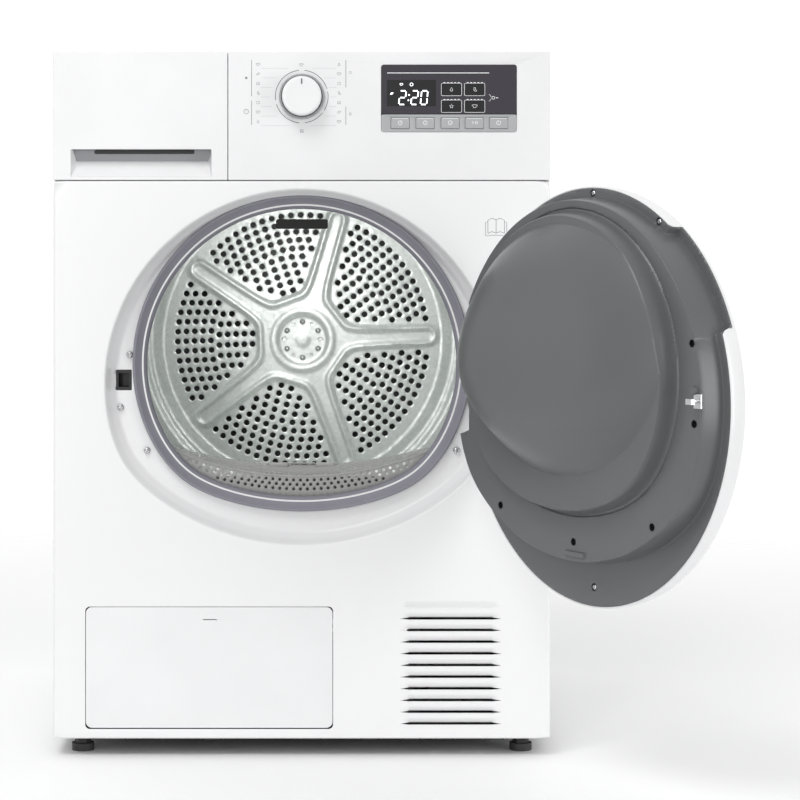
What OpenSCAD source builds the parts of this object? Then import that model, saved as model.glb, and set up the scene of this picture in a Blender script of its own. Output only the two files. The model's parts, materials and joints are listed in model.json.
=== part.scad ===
// Front-loading clothes dryer with a heat pump, its door shown open.
// Millimetres. +Z is up, the front faces -Y, and the origin is on the floor below the middle of the
// four feet. Pieces of the door are drawn closed and turned about the hinge pin by door_angle.

/* [Cabinet] */
// Width over the side panels
body_w = 596; // [588:1:716]
// Depth from the front sheet to the rear sheet
body_d = 600; // [590:1:720]
// Height of the worktop above the floor
body_h = 845; // [838:1:1014]
// Gap under the cabinet that the feet fill
foot_h = 20; // [17:0.5:26]
// Thickness of the cabinet's sheet steel
sheet_t = 1.2; // [0.8:0.1:1.6]
// Height of the worktop's edge
worktop_t = 22; // [16:1:26]
// How far the front pieces fold back along the sides
front_return = 14; // [10:1:16]
// Width of the seam between outer panels
seam = 0.8; // [0.5:0.1:1.2]

/* [Front] */
// Height of the fascia and of the tank drawer's front
fascia_h = 154; // [146:1:160]
// Width of the tank drawer's front
drawer_w = 209; // [200:1:230]
// Radius of the round recess behind the door
recess_r = 238; // [236:0.5:244]
// Depth of that recess
recess_depth = 26; // [22:1:34]
// Width of the service flap
flap_w = 296; // [240:1:310]
// Height of the service flap
flap_h = 145; // [110:1:150]
// Thickness of the service flap
flap_t = 2.5; // [2:0.5:4]
// Number of open louvres
louvre_count = 10; // [6:1:10]
// Distance from one louvre to the next
louvre_pitch = 14; // [11:0.5:14]

/* [Door] */
// Radius of the door's outer cover
door_r = 235; // [228:0.5:236]
// Height of the door's centre above the floor
door_z = 443; // [440:1:452]
// Depth of the door's outer cover in front of the cabinet
door_depth = 38; // [34:1:48]
// Angle by which the door stands open
door_angle = 122; // [90:1:140]
// Sideways distance from the door's centre to the hinge pin
hinge_x = 214; // [210:0.5:216]
// Radius of the hinge pin
hinge_pin_r = 4; // [3:0.5:5]
// Depth of the door's bulge behind the front sheet
bulge_depth = 62; // [48:1:64]

/* [Opening and drum] */
// Height of the opening's centre above the floor
opening_z = 469; // [466:1:472]
// Inner radius of the door seal
opening_r = 188; // [180:0.5:190]
// Width of the door seal
seal_w = 16; // [12:0.5:18]
// Height of the drum's axis above the floor
drum_z = 482; // [481:0.5:486]
// Outer radius of the drum
drum_r = 280; // [274:0.5:281]
// Thickness of the drum's sheet
drum_t = 1.5; // [1:0.1:2]
// Distance from the front sheet to the flat of the drum's back plate
drum_back_depth = 480; // [440:1:488]
// Radius of the perforated field in the back plate
field_r = 186; // [170:1:190]
// Diameter of a perforation
hole_d = 8.2; // [6:0.1:9]
// Distance between neighbouring perforations
hole_pitch = 13.2; // [12:0.1:18]
// Number of arms of the star
arms = 5; // [4:1:6]

/* [Drive] */
// Radius of the drum shaft
shaft_r = 10; // [8:0.5:12]
// Radius of the motor shaft
motor_shaft_r = 6; // [5:0.5:7]
// Radius of the motor pulley
pulley_r = 10; // [9:0.5:14]
// Thickness of the drum belt
belt_t = 2.6; // [2:0.1:3]
// Radius of the fan wheel
fan_r = 72; // [60:1:76]
// Radius of a front roller
roller_r = 24; // [20:0.5:26]
// Radius of the idler pulley
idler_r = 15; // [12:0.5:16]

/* [Water and filter] */
// Length of the water tank
tank_l = 380; // [300:5:400]
// Height of the water tank
tank_h = 60; // [50:1:60]
// Width of the lint filter
filter_w = 250; // [200:1:256]
// Height of the lint filter below its cap
filter_h = 140; // [110:1:144]

/* [Feet] */
// Distance between left and right feet
feet_x = 532; // [500:1:536]
// Distance between front and rear feet
feet_y = 514; // [480:1:530]
// Radius of a foot's pad
foot_r = 13.5; // [12:0.5:16]
// Radius of a foot's stud
stud_r = 5; // [4:0.5:6]

/* [Hidden] */
$fn = 72;

fit = 0.05;              // running clearance on a radius
gap = 0.4;               // clearance between pieces that move past each other
hair = 0.01;             // how far a cut runs past a face

front = -body_d / 2;
back = body_d / 2;
half_w = body_w / 2;
wall = 2.5;              // usual wall of a plastic moulding

white = [0.95, 0.95, 0.96];
grey = [0.42, 0.43, 0.44];
steel = [0.72, 0.74, 0.74];
dark = [0.16, 0.16, 0.17];

panel_top = body_h - fascia_h - seam;
cabinet_top = body_h - worktop_t;
side_front = front + front_return + gap;

// The flattened circles of the recess, of the door and of the opening
recess_flat_r = 300;
recess_drop = recess_r - 47;
flat_r = 330;
opening_drop = opening_r - 26;
plateau_r = recess_r - 16;
plateau_depth = recess_depth - sheet_t - 8.3;
floor_y = front + recess_depth;          // back of the recess floor
seal_front = floor_y - sheet_t - 8;
sleeve_end = front + 44;                 // back end of the seal's sleeve
passage_t = 3;
passage = seal_w / 5;                    // how much the passage is larger than the seal

// Drum and bulkhead, along the depth
bulkhead_y = front + 94;
bulkhead_t = 4;
drum_front = bulkhead_y + 11;
mouth_r = drum_r - 66;
collar_r = mouth_r - 6;
plate_y = front + drum_back_depth;
shell_end = plate_y - 15;
cone_r = 240;
flange_y = plate_y - 18;                 // front of the back plate's outer flange
felt_t = 6;
duct_front = flange_y + drum_t + gap + felt_t;
duct_r = cone_r + 15;
duct_back = back - sheet_t - gap;

// Lint filter and its shaft
grille_top = opening_z - opening_drop + 31;
grille_back = bulkhead_y - 1;
grille_arc = 800;                        // radius of the grille's hollow top
filter_y = front + 76;                   // middle of the filter's thickness
filter_t = 24;
cap_t = 3;

// Drive
motor_x = 200;
motor_z = 195;
motor_r = 52;
motor_y = [40, 170];
belt_y = 12;
belt_w = 10;
belt_gap = 0.3;
fan_y = 210;
fan_w = 44;
core_y = [70, 140];
core_r = 29;
housing_r = fan_r + 19;
idler_gap = belt_gap;

// Rollers under the drum's front edge
roller_angle = 35;
roller_w = 16;
roller_y = drum_front + 14;
roller_pin_r = 6;
roller_reach = drum_r + roller_r + 0.3;
roller_x = roller_reach * sin(roller_angle);
roller_z = drum_z - roller_reach * cos(roller_angle);

// Belt run: the two straight stretches touch both circles
function belt_mid(r) = r + belt_gap + belt_t / 2;
motor_dist = norm([motor_x, motor_z - drum_z]);
motor_dir = atan2(motor_z - drum_z, motor_x);
tangent = acos((drum_r - pulley_r) / motor_dist);
function on_circle(c, r, a) = [c[0] + r * cos(a), c[1] + r * sin(a)];
drum_c = [0, drum_z];
motor_c = [motor_x, motor_z];
low_a = motor_dir - tangent;
low_start = on_circle(drum_c, belt_mid(drum_r), low_a);
low_end = on_circle(motor_c, belt_mid(pulley_r), low_a);
idler_share = 0.5;                       // place of the idler along the lower stretch
idler_on_belt = low_start + idler_share * (low_end - low_start);
idler_c = on_circle(idler_on_belt, belt_t / 2 + idler_gap + idler_r, low_a);
arm_pivot = [150, 105];
arm_y = belt_y + belt_w + 6;
arm_t = 3;
pivot_r = 5;

// Base tray and heat pump
tray_floor = foot_h;
tray_t = 4;
tray_top = foot_h + 26;
tray_front = side_front + 3;
exchanger_x = [-245, 15];
exchanger_z = [tray_top, 170];
evaporator_y = [-200, -100];
condenser_y = [-80, 0];
compressor_c = [205, -150];
compressor_r = 58;
stub_reach = compressor_r + 12;          // how far its pipe stub reaches
pump_c = [-150, 140];
gland_c = [-240, cabinet_top - 83];
gland_r = 8;

// Water tank and its drawer
tank_bottom = cabinet_top - 68;
tank_x = [-half_w + front_return + 2, -half_w + front_return + 185];
tank_y = front + 25;
spout_r = 15;
pocket_x = [20.8, 190.1];                // handle pocket, from the drawer's left edge
pocket_z = [3.8, 37.1];
pocket_d = 18;

// Fascia
fascia_x = drawer_w - half_w + seam;
fascia_t = 3;
knob_z = body_h - 53.9;
knob_r = 27;
cap_r = 23.5;
knob_depth = 21;
knob_stem_r = 3;
window_x = [95, 258];
window_z = [body_h - 96.7, body_h - 15.5];
strip_h = 21.4;
key_x = [118, 148, 178, 207, 236];
key_w = 22;
key_h = 13;
key_z = window_z[0] + 11;
key_travel = 1.2;
window_depth = 4;
board_y = front + 24;

// Service flap
flap_x = -half_w + 39;
flap_z = foot_h + 14;
flap_corner = 7.5;
flap_pin_r = 0.9;
flap_axis_z = flap_z + 1.6;
louvre_x = [119, 238];
louvre_z = foot_h + 19;
louvre_h = 3;

// Door lock and hook
lock_c = [-215, door_z + 7];
hook_t = 2;

// Hinge
hinge_y = front - 16;
lug_h = 80;
lug_t = 12;
lug_r = 8;
leaf_x = [hinge_x - 8.5, hinge_x + 2.5];
leaf_t = 3;
screw_r = 2;
screw_head_r = 4;
screw_head = 2;
hinge_screw_z = [door_z - lug_h - 13, door_z + lug_h + 13];
hinge_screw_x = hinge_x - 3;
knuckle_h = lug_h - 26;                  // half the length of the arm's knuckle
recess_screws = [[-208, 481], [-219, 417], [-187, 365], [187, 365]];
rim_screws = [for (a = [58, 91, 124, 266, 302]) on_circle([0, door_z], door_r - 7, a)];
ring_screws = [[-210, door_z + 67], [-211, door_z - 17], [-140, door_z - 131], [-5, door_z - 160],
    [131, door_z - 131]];

// A plate of thickness t whose front is at y, from an outline drawn in X and Z
module slab(y, t) translate([0, y + t, 0]) rotate([90, 0, 0]) linear_extrude(t) children();

// A round body about an axis along Y: the outline is [radius, y]
module turned(c) translate([c[0], 0, c[1]]) rotate([-90, 0, 0]) rotate_extrude() children();

// A straight round bar along Y
module bar(c, r, y) translate([c[0], y[0], c[1]]) rotate([-90, 0, 0]) cylinder(r = r, h = y[1] - y[0]);

// A box between two corners
module block(x, y, z) translate([x[0], y[0], z[0]]) cube([x[1] - x[0], y[1] - y[0], z[1] - z[0]]);

// A circle about height z whose bottom is flattened by a wider arc
module flattened(z, r, arc_r, drop) translate([0, z]) intersection() {
    circle(r = r, $fn = 144);
    translate([0, arc_r - drop]) circle(r = arc_r, $fn = 240);
}
module recess_2d(grow) flattened(door_z, recess_r + grow, recess_flat_r + grow, recess_drop + grow);
module plateau_2d(grow) flattened(door_z, plateau_r + grow, recess_flat_r - 16 + grow, recess_drop - 7 + grow);
module opening_2d(grow) flattened(opening_z, opening_r + grow, flat_r + grow, opening_drop + grow);

// A rectangle with round corners, from its lower left corner
module rounded(x, z, w, h, r) {
    translate([x + r, z]) square([w - 2 * r, h]);
    translate([x, z + r]) square([w, h - 2 * r]);
    for (cx = [x + r, x + w - r], cz = [z + r, z + h - r]) translate([cx, cz]) circle(r = r);
}

// A pipe of radius r through points, with a slightly larger round joint at each bend
module pipe(points, r) {
    for (i = [0 : len(points) - 2]) {
        run = points[i + 1] - points[i];
        long = norm(run);
        translate(points[i]) rotate([0, acos(run[2] / long), atan2(run[1], run[0])]) cylinder(r = r, h = long);
    }
    for (i = [1 : len(points) - 2]) translate(points[i]) sphere(r = r + 0.4);
}

// The opened door: what is drawn closed turns about the hinge pin
module open_door() translate([hinge_x, hinge_y, 0]) rotate([0, 0, door_angle])
    translate([-hinge_x, -hinge_y, 0]) children();

// A screw with a round head whose face bears at y; the shank runs towards +Y
module screw(c, y, length) {
    bar(c, screw_head_r, [y - screw_head, y]);
    bar(c, screw_r, [y - hair, y + length]);
}

// ---------------------------------------------------------------- cabinet

module side_panel() {
    block([half_w - sheet_t, half_w], [side_front, back - sheet_t], [foot_h, cabinet_top]);
    block([half_w - front_return, half_w - hair], [side_front, side_front + sheet_t], [foot_h, cabinet_top]);
    block([half_w - front_return, half_w - hair], [back - 2 * sheet_t, back - sheet_t], [foot_h, cabinet_top]);
    block([half_w - front_return, half_w - hair], [side_front, back - sheet_t], [foot_h, foot_h + sheet_t]);
}
module side_right() color(white) difference() {
    side_panel();
    for (y = [-feet_y / 2, feet_y / 2]) translate([feet_x / 2, y, 0]) cylinder(r = foot_r + 1, h = 2 * foot_h);
}
module side_left() mirror([1, 0, 0]) side_right();

module louvre_2d(i) {
    z = louvre_z + i * louvre_pitch;
    translate([louvre_x[0], z]) square([louvre_x[1] - louvre_x[0], louvre_h]);
    for (x = louvre_x) translate([x, z + louvre_h / 2]) circle(r = louvre_h / 2);
}
module front_panel() color(white) difference() {
    union() {
        slab(front, sheet_t) difference() {
            translate([-half_w, foot_h + 1]) square([body_w, panel_top - foot_h - 1]);
            recess_2d(0);
            rounded(flap_x - seam, flap_z - 1, flap_w + 2 * seam, flap_h + 1 + seam, flap_corner + seam);
            for (i = [0 : louvre_count - 1]) louvre_2d(i);
        }
        slab(front, recess_depth) difference() {
            recess_2d(sheet_t);
            recess_2d(0);
        }
        slab(floor_y - sheet_t, sheet_t) difference() {
            recess_2d(hair);
            opening_2d(passage + 0.6);
            translate(lock_c) square([19, 25], center = true);
            for (c = recess_screws) translate(c) circle(r = screw_r + fit);
            for (z = hinge_screw_z) translate([hinge_screw_x, z]) circle(r = screw_r + fit);
        }
        for (s = [-1, 1]) scale([s, 1, 1])
            block([half_w - sheet_t, half_w], [front, front + front_return], [foot_h + 1, panel_top]);
        block([-half_w, half_w], [front, front + front_return], [panel_top - sheet_t, panel_top]);
        block([-half_w, half_w], [front, front + front_return], [foot_h + 1, foot_h + 1 + sheet_t]);
    }
    block([flap_x - 3.4, flap_x + flap_w + 3.4], [front - hair, front + sheet_t + hair],
        [flap_axis_z - flap_pin_r - gap, flap_axis_z + flap_pin_r + gap]);
}

module rear_panel() color(steel) slab(back - sheet_t, sheet_t) difference() {
    translate([-half_w, foot_h]) square([body_w, cabinet_top - foot_h]);
    for (i = [0 : 7]) rounded(90, foot_h + 40 + 12 * i, 150, 5, 2.4);
    translate(gland_c) circle(r = gland_r + 0.1);
}

module worktop() color(white) {
    y = [side_front, back];
    difference() {
        block([-half_w, half_w], y, [cabinet_top, body_h]);
        block([-half_w + wall, half_w - wall], [y[0] + wall, back - wall], [cabinet_top - 1, body_h - wall]);
    }
    for (x = [-180 : 120 : 180])
        block([x - 1, x + 1], [y[0] + wall - hair, back - wall + hair], [body_h - 10, body_h - wall + hair]);
}

module base_tray() color(dark) difference() {
    union() {
        difference() {
            block([-half_w + 2, half_w - 2], [tray_front, back - 4], [tray_floor + sheet_t + 0.3, tray_top]);
            block([-half_w + 20, half_w - 20], [tray_front + 3, back - 22], [tray_floor + tray_t, tray_top + 1]);
        }
        for (x = [-235, -120, 0, 70, 120, 160, 220])
            block([x, x + 24], [tray_front, tray_front + 3], [tray_floor - 3, tray_top]);
        block([40, 43], [tray_front + 2, 60], [tray_floor + tray_t - hair, tray_top]);
        for (x = [motor_x - 38, motor_x + 32])
            block([x, x + 6], [motor_y[0], motor_y[1]], [tray_floor + tray_t - hair, tray_top]);
    }
    for (x = [-feet_x / 2, feet_x / 2], y = [-feet_y / 2, feet_y / 2])
        translate([x, y, 0]) cylinder(r = stud_r + fit, h = tray_top + 1);
}

module fascia() color(white) difference() {
    union() {
        slab(front, fascia_t) translate([fascia_x, panel_top + seam]) square([half_w - fascia_x, fascia_h]);
        block([fascia_x, fascia_x + wall], [front, front + front_return], [panel_top + seam, body_h]);
        block([half_w - wall, half_w], [front, front + front_return], [panel_top + seam, body_h]);
        block([fascia_x, half_w], [front, front + front_return], [body_h - wall, body_h]);
        block([fascia_x, half_w], [front, front + front_return], [panel_top + seam, panel_top + seam + wall]);
    }
    bar([0, knob_z], knob_stem_r + 1, [front - 1, front + fascia_t + 1]);
    slab(front - 1, window_depth - 1) rounded(window_x[0], window_z[0], window_x[1] - window_x[0],
        window_z[1] - window_z[0], 3);
    slab(front - 1, fascia_t + 2) translate([window_x[0] + 6, window_z[0] + 3])
        square([window_x[1] - window_x[0] - 12, window_z[1] - window_z[0] - 6]);
}

module display_window() color(dark) difference() {
    union() {
        slab(front - 0.4, window_depth - 1.6) rounded(window_x[0] + 0.2, window_z[0] + 0.2,
            window_x[1] - window_x[0] - 0.4, window_z[1] - window_z[0] - 0.4, 2.8);
        slab(front + 1, 5) translate([window_x[0] + 6.2, window_z[0] + 3.2])
            square([window_x[1] - window_x[0] - 12.4, window_z[1] - window_z[0] - 6.4]);
    }
    for (x = key_x) slab(front - 1, 8) translate([x, key_z]) square([key_w + 0.8, key_h + 0.8], center = true);
}

module key(i) color(steel) {
    slab(front - 1.4, 2.4) rounded(key_x[i] - key_w / 2, key_z - key_h / 2, key_w, key_h, 1);
    slab(front + 1 - hair, 7) translate([key_x[i], key_z]) square([8, 5], center = true);
}
module key_delay() key(0);
module key_time() key(1);
module key_dryness() key(2);
module key_start() key(3);
module key_power() key(4);

module programme_knob() color(white) {
    turned([0, knob_z]) polygon([
        [0, front - knob_depth], [cap_r - 2, front - knob_depth], [cap_r, front - knob_depth + 2],
        [cap_r, front - 6], [knob_r, front - 4], [knob_r, front - 0.5], [knob_stem_r, front - 0.5],
        [knob_stem_r, front + 16], [0, front + 16]]);
    translate([-0.8, front - knob_depth - 0.4, knob_z + cap_r - 10]) cube([1.6, 1, 7]);
}

module control_board() color("seagreen") {
    difference() {
        block([-60, 265], [board_y, board_y + 1.6], [panel_top + 45, cabinet_top - 8]);
        bar([0, knob_z], 6, [board_y - 1, board_y + 3]);
    }
    difference() {
        bar([0, knob_z], 12, [board_y - 8.2, board_y]);
        bar([0, knob_z], knob_stem_r + fit, [board_y - 9, board_y + 1]);
    }
    for (x = key_x) slab(board_y - 12, 12) translate([x, key_z]) square([6, 6], center = true);
    block([110, 170], [board_y + 1.6, board_y + 26], [panel_top + 60, panel_top + 100]);
    for (x = [190, 215, 240]) translate([x, board_y + 1.6, panel_top + 80]) rotate([-90, 0, 0]) cylinder(r = 9, h = 24);
}

module cabinet_screws() color(steel) {
    for (c = recess_screws) screw(c, floor_y - sheet_t, 8);
    for (z = hinge_screw_z) screw([hinge_screw_x, z], floor_y - sheet_t - leaf_t, 10);
}

module cable_gland() color(dark) difference() {
    union() {
        bar(gland_c, gland_r, [back - 12, back + hair]);
        bar(gland_c, gland_r + 3, [back, back + 2.5]);
        bar(gland_c, gland_r + 3, [back - 6, back - sheet_t]);
    }
    bar(gland_c, 4, [back - 13, back + 4]);
}

// ---------------------------------------------------------------- front of the drum

module door_seal() color([0.6, 0.59, 0.64]) {
    slab(seal_front, 8) difference() {
        opening_2d(seal_w);
        opening_2d(0);
    }
    slab(seal_front + 8 - hair, sleeve_end - seal_front - 8) difference() {
        opening_2d(passage);
        opening_2d(0);
    }
}

module filter_slot_2d(grow) translate([0, filter_y]) square([filter_w + 2 * grow, filter_t + 6 + 2 * grow], center = true);

module front_bulkhead() color(steel) {
    shaft_bottom = grille_top - filter_h - 18;
    difference() {
        union() {
            slab(bulkhead_y, bulkhead_t) difference() {
                translate([-half_w + 16, tray_top + 140]) square([body_w - 32, tank_bottom - 12 - tray_top - 140]);
                opening_2d(passage + 0.3);
            }
            slab(sleeve_end + gap, bulkhead_y - sleeve_end - gap + hair) difference() {
                opening_2d(passage + 0.3 + passage_t);
                opening_2d(passage + 0.3);
            }
            turned([0, drum_z]) translate([collar_r - 3, bulkhead_y + bulkhead_t - hair])
                square([3, drum_front + 8 - bulkhead_y - bulkhead_t]);
            block([-filter_w / 2 - 4, filter_w / 2 + 4], [filter_y - filter_t / 2 - 4, bulkhead_y + hair],
                [shaft_bottom, opening_z - opening_drop]);
            for (s = [-1, 1]) bar([s * roller_x, roller_z], roller_pin_r,
                [bulkhead_y + bulkhead_t - hair, roller_y + roller_w + 6]);
        }
        block([-filter_w / 2 - 1, filter_w / 2 + 1], [filter_y - filter_t / 2 - 1, filter_y + filter_t / 2 + 1],
            [shaft_bottom - 1, opening_z]);
        slab(filter_y - filter_t / 2 - 10, bulkhead_y - filter_y + filter_t / 2 + 10) opening_2d(passage + 0.3);
    }
}

module below_arc_2d(grow) translate([0, grille_top + grille_arc]) circle(r = grille_arc + grow, $fn = 720);
module air_grille() color(grey) difference() {
    front_y = sleeve_end + 1;
    union() {
        slab(front_y, wall) difference() {
            opening_2d(passage);
            below_arc_2d(0);
        }
        slab(front_y + wall - hair, grille_back - front_y - wall) intersection() {
            opening_2d(passage);
            difference() {
                below_arc_2d(wall);
                below_arc_2d(0);
            }
        }
    }
    linear_extrude(body_h) filter_slot_2d(gap);
    for (x = [-112 : 8 : 112])
        block([x - 1.2, x + 1.2], [front_y - 1, front_y + wall + 1], [grille_top - 22, grille_top - 5]);
}

module lint_filter() color(grey) difference() {
    union() {
        intersection() {
            linear_extrude(body_h) filter_slot_2d(0);
            slab(front, 200) difference() {
                below_arc_2d(cap_t);
                below_arc_2d(0);
            }
        }
        block([-filter_w / 2 + 3, filter_w / 2 - 3], [filter_y - filter_t / 2, filter_y + filter_t / 2],
            [grille_top - filter_h, grille_top - 1]);
        for (x = [-26, 26])
            block([x - 12, x + 12], [filter_y - 7, filter_y + 7], [grille_top - hair, grille_top + 5]);
    }
    block([-filter_w / 2 + 5, filter_w / 2 - 5], [filter_y - filter_t / 2 + 2, filter_y + filter_t / 2 - 2],
        [grille_top - filter_h + 2, grille_top - 6]);
    for (x = [-filter_w / 2 + 14, 50])
        block([x, x + filter_w / 2 - 64], [filter_y - 7, filter_y + 7], [grille_top - 8, grille_top + 20]);
    block([-11, 11], [filter_y - 7, filter_y + 7], [grille_top - 8, grille_top + 6]);
    for (x = [-filter_w / 2 + 12 : 39 : filter_w / 2 - 42], y = [filter_y - filter_t / 2 - 1, filter_y + filter_t / 2 - 1.2])
        block([x, x + 31], [y, y + 2.2], [grille_top - filter_h + 10, grille_top - 14]);
}

module drum_lamp() color([0.9, 0.9, 0.85]) {
    lamp_z = opening_z + opening_r - 12;
    slab(front + 66, 24) rounded(-32, lamp_z - 12, 64, 12, 3);
}

module drum_felts() color([0.3, 0.3, 0.32]) {
    turned([0, drum_z]) translate([collar_r, drum_front - 1]) square([mouth_r - collar_r - gap, 8]);
    turned([0, drum_z]) translate([duct_r - 8, flange_y + drum_t + gap]) square([14, felt_t]);
}

// ---------------------------------------------------------------- drum

module drum_shell() color(steel) turned([0, drum_z]) polygon([
    [mouth_r, drum_front], [drum_r, drum_front], [drum_r, shell_end], [drum_r - drum_t, shell_end],
    [drum_r - drum_t, drum_front + drum_t], [mouth_r, drum_front + drum_t]]);

// Rings of perforations that leave the arms and the hub free
function ring_count(r) = floor(360 / arms * PI / 180 * r / hole_pitch);
function clear_of_arm(r, a) = let (half = 180 / arms, d = abs(a - half)) r * sin(half - d) > 19;
arm_turn = 2;
module holes_2d() for (r = [70 : hole_pitch * 0.87 : field_r - hole_d / 2], s = [0 : arms - 1])
    let (n = ring_count(r), step = 360 / arms / n)
        for (i = [0 : n - 1]) if (clear_of_arm(r, (i + 0.5) * step))
            rotate(arm_turn + s * 360 / arms + (i + 0.5) * step) translate([r, 0]) circle(d = hole_d, $fn = 24);

module drum_back() color(steel) difference() {
    union() {
        turned([0, drum_z]) polygon([
            [0, plate_y], [195, plate_y], [cone_r, flange_y], [drum_r - drum_t, flange_y],
            [drum_r - drum_t, flange_y + drum_t], [cone_r + 0.6, flange_y + drum_t],
            [195.6, plate_y + drum_t], [0, plate_y + drum_t]]);
        slab(plate_y - 3, 3 + hair) translate([0, drum_z]) {
            for (i = [0 : arms - 1]) rotate(arm_turn + i * 360 / arms) {
                translate([0, -14]) square([field_r - 14, 28]);
                translate([field_r - 14, 0]) circle(r = 14);
            }
            circle(r = 62);
        }
    }
    slab(plate_y - 5, 10) translate([0, drum_z]) holes_2d();
    for (i = [0 : 5]) bar(on_circle(drum_c, 25, 30 + 60 * i), 2.5, [plate_y - 10, plate_y + 10]);
}

module drum_lifters() color(steel) for (i = [0 : 2]) translate([0, 0, drum_z]) rotate([0, 30 + 120 * i, 0])
    translate([0, 0, -drum_z]) slab(drum_front + 20, shell_end - drum_front - 60) translate([0, drum_z]) difference() {
        intersection() {
            polygon([[-22, 0], [22, 0], [22, -drum_r], [-22, -drum_r]]);
            difference() {
                circle(r = drum_r - drum_t);
                translate([0, -drum_r + 62]) circle(r = 6);
                for (s = [-1, 1]) translate([s * 34, -drum_r + 30]) rotate(s * 20) square([30, 80], center = true);
                circle(r = drum_r - 55);
            }
        }
        circle(r = 100);
    }

module drum_shaft() color(steel) difference() {
    turned([0, drum_z]) polygon([
        [0, plate_y + drum_t], [38, plate_y + drum_t], [38, plate_y + drum_t + 4],
        [shaft_r + 6, plate_y + drum_t + 4], [shaft_r, plate_y + drum_t + 12],
        [shaft_r, duct_back - 34], [0, duct_back - 34]]);
    for (i = [0 : 5]) bar(on_circle(drum_c, 25, 30 + 60 * i), 2.5, [plate_y - 10, plate_y + 20]);
}

module hub_rivets() color(steel) for (i = [0 : 5]) turned(on_circle(drum_c, 25, 30 + 60 * i)) polygon([
    [0, plate_y - 6], [3, plate_y - 5.6], [4.6, plate_y - 4.2], [5, plate_y - 3], [2.5, plate_y - 3],
    [2.5, plate_y + drum_t + 4], [4, plate_y + drum_t + 4], [3.4, plate_y + drum_t + 6], [0, plate_y + drum_t + 6]]);

module rear_bearing() color(steel) turned([0, drum_z])
    translate([shaft_r + fit, duct_back - 52]) square([16, 16]);

// The rear duct, with its port towards the fan
port_dir = atan2(motor_z - drum_z, motor_x);
module port(r, y) translate([motor_x, 0, motor_z]) rotate([0, -port_dir + 180, 0])
    translate([0, y[0], -r]) cube([motor_dist - duct_r + 30, y[1] - y[0], 2 * r]);

module rear_duct() color(grey) difference() {
    union() {
        turned([0, drum_z]) polygon([
            [duct_r, duct_front], [duct_r + 3, duct_front], [duct_r + 3, duct_back], [shaft_r + 16.05, duct_back],
            [shaft_r + 16.05, duct_back - 56], [shaft_r + 21, duct_back - 56], [shaft_r + 21, duct_back - 3],
            [duct_r, duct_back - 3]]);
        turned([0, drum_z]) translate([shaft_r + 3, duct_back - 3]) square([16, 3]);
        for (i = [0 : 5]) translate([0, 0, drum_z]) rotate([0, 20 + 60 * i, 0])
            block([shaft_r + 20, duct_r + 1], [duct_back - 16, duct_back - 3 + hair], [-1.5, 1.5]);
    }
    port(24, [fan_y, fan_y + fan_w]);
}

// ---------------------------------------------------------------- drive

module belt_side_2d(grow) {
    r0 = belt_mid(drum_r) + grow;
    r1 = belt_mid(pulley_r) + grow;
    translate(drum_c) circle(r = r0, $fn = 144);
    translate(motor_c) circle(r = r1);
    polygon([on_circle(drum_c, r0, motor_dir + tangent), on_circle(drum_c, r0, low_a),
        on_circle(motor_c, r1, low_a), on_circle(motor_c, r1, motor_dir + tangent)]);
}
module drum_belt() color(dark) slab(belt_y, belt_w) difference() {
    belt_side_2d(belt_t / 2);
    belt_side_2d(-belt_t / 2);
}

module motor_body() color(steel) {
    difference() {
        union() {
            bar(motor_c, motor_r, motor_y);
            for (x = [motor_x - 38, motor_x + 32])
                block([x, x + 6], [motor_y[0] + 10, motor_y[1] - 10], [tray_top, motor_z]);
            block([arm_pivot[0] - 10, arm_pivot[0] + 22], [motor_y[0], motor_y[0] + 12],
                [arm_pivot[1] - 10, arm_pivot[1] + 60]);
        }
        bar(motor_c, motor_shaft_r + fit, [motor_y[0] - 1, motor_y[1] + 1]);
        bar(motor_c, core_r + 1, [motor_y[0] + 20, motor_y[1] - 20]);
    }
    bar(arm_pivot, pivot_r, [arm_y - 3, motor_y[0] + hair]);
}

module motor_shaft() color(steel) {
    bar(motor_c, motor_shaft_r, [belt_y - 8, fan_y + fan_w + 6]);
    bar(motor_c, pulley_r, [belt_y - 2, belt_y + belt_w + 2]);
    bar(motor_c, core_r, core_y);
}

module fan_wheel() color(dark) difference() {
    union() {
        bar(motor_c, motor_shaft_r + 8, [fan_y, fan_y + fan_w - 2]);
        bar(motor_c, fan_r, [fan_y + fan_w - 4, fan_y + fan_w - 2]);
        slab(fan_y, fan_w - 4 + hair) translate(motor_c) for (i = [0 : 23]) rotate(15 * i)
            translate([fan_r - 20, 0]) rotate(35) square([18, 1.6]);
    }
    bar(motor_c, motor_shaft_r, [fan_y - 1, fan_y + fan_w]);
}

module fan_housing() color(grey) {
    y = [fan_y - 6, fan_y + fan_w + 8];
    difference() {
        union() {
            bar(motor_c, housing_r, y);
            port(27, [y[0], y[1]]);
            for (s = [-1, 1]) block([motor_x + s * 44 - 3, motor_x + s * 44 + 3], y, [tray_top, motor_z]);
        }
        bar(motor_c, housing_r - wall, [y[0] + wall, y[1] - wall]);
        port(24, [y[0] + wall, y[1] - wall]);
        bar(motor_c, 48, [y[0] - 1, y[0] + wall + 1]);
        bar(motor_c, motor_shaft_r + 2, [y[1] - wall - 1, y[1] + 1]);
        turned([0, drum_z]) translate([0, y[0] - 1]) square([duct_r + 3 + gap, y[1] - y[0] + 2]);
    }
}

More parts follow.
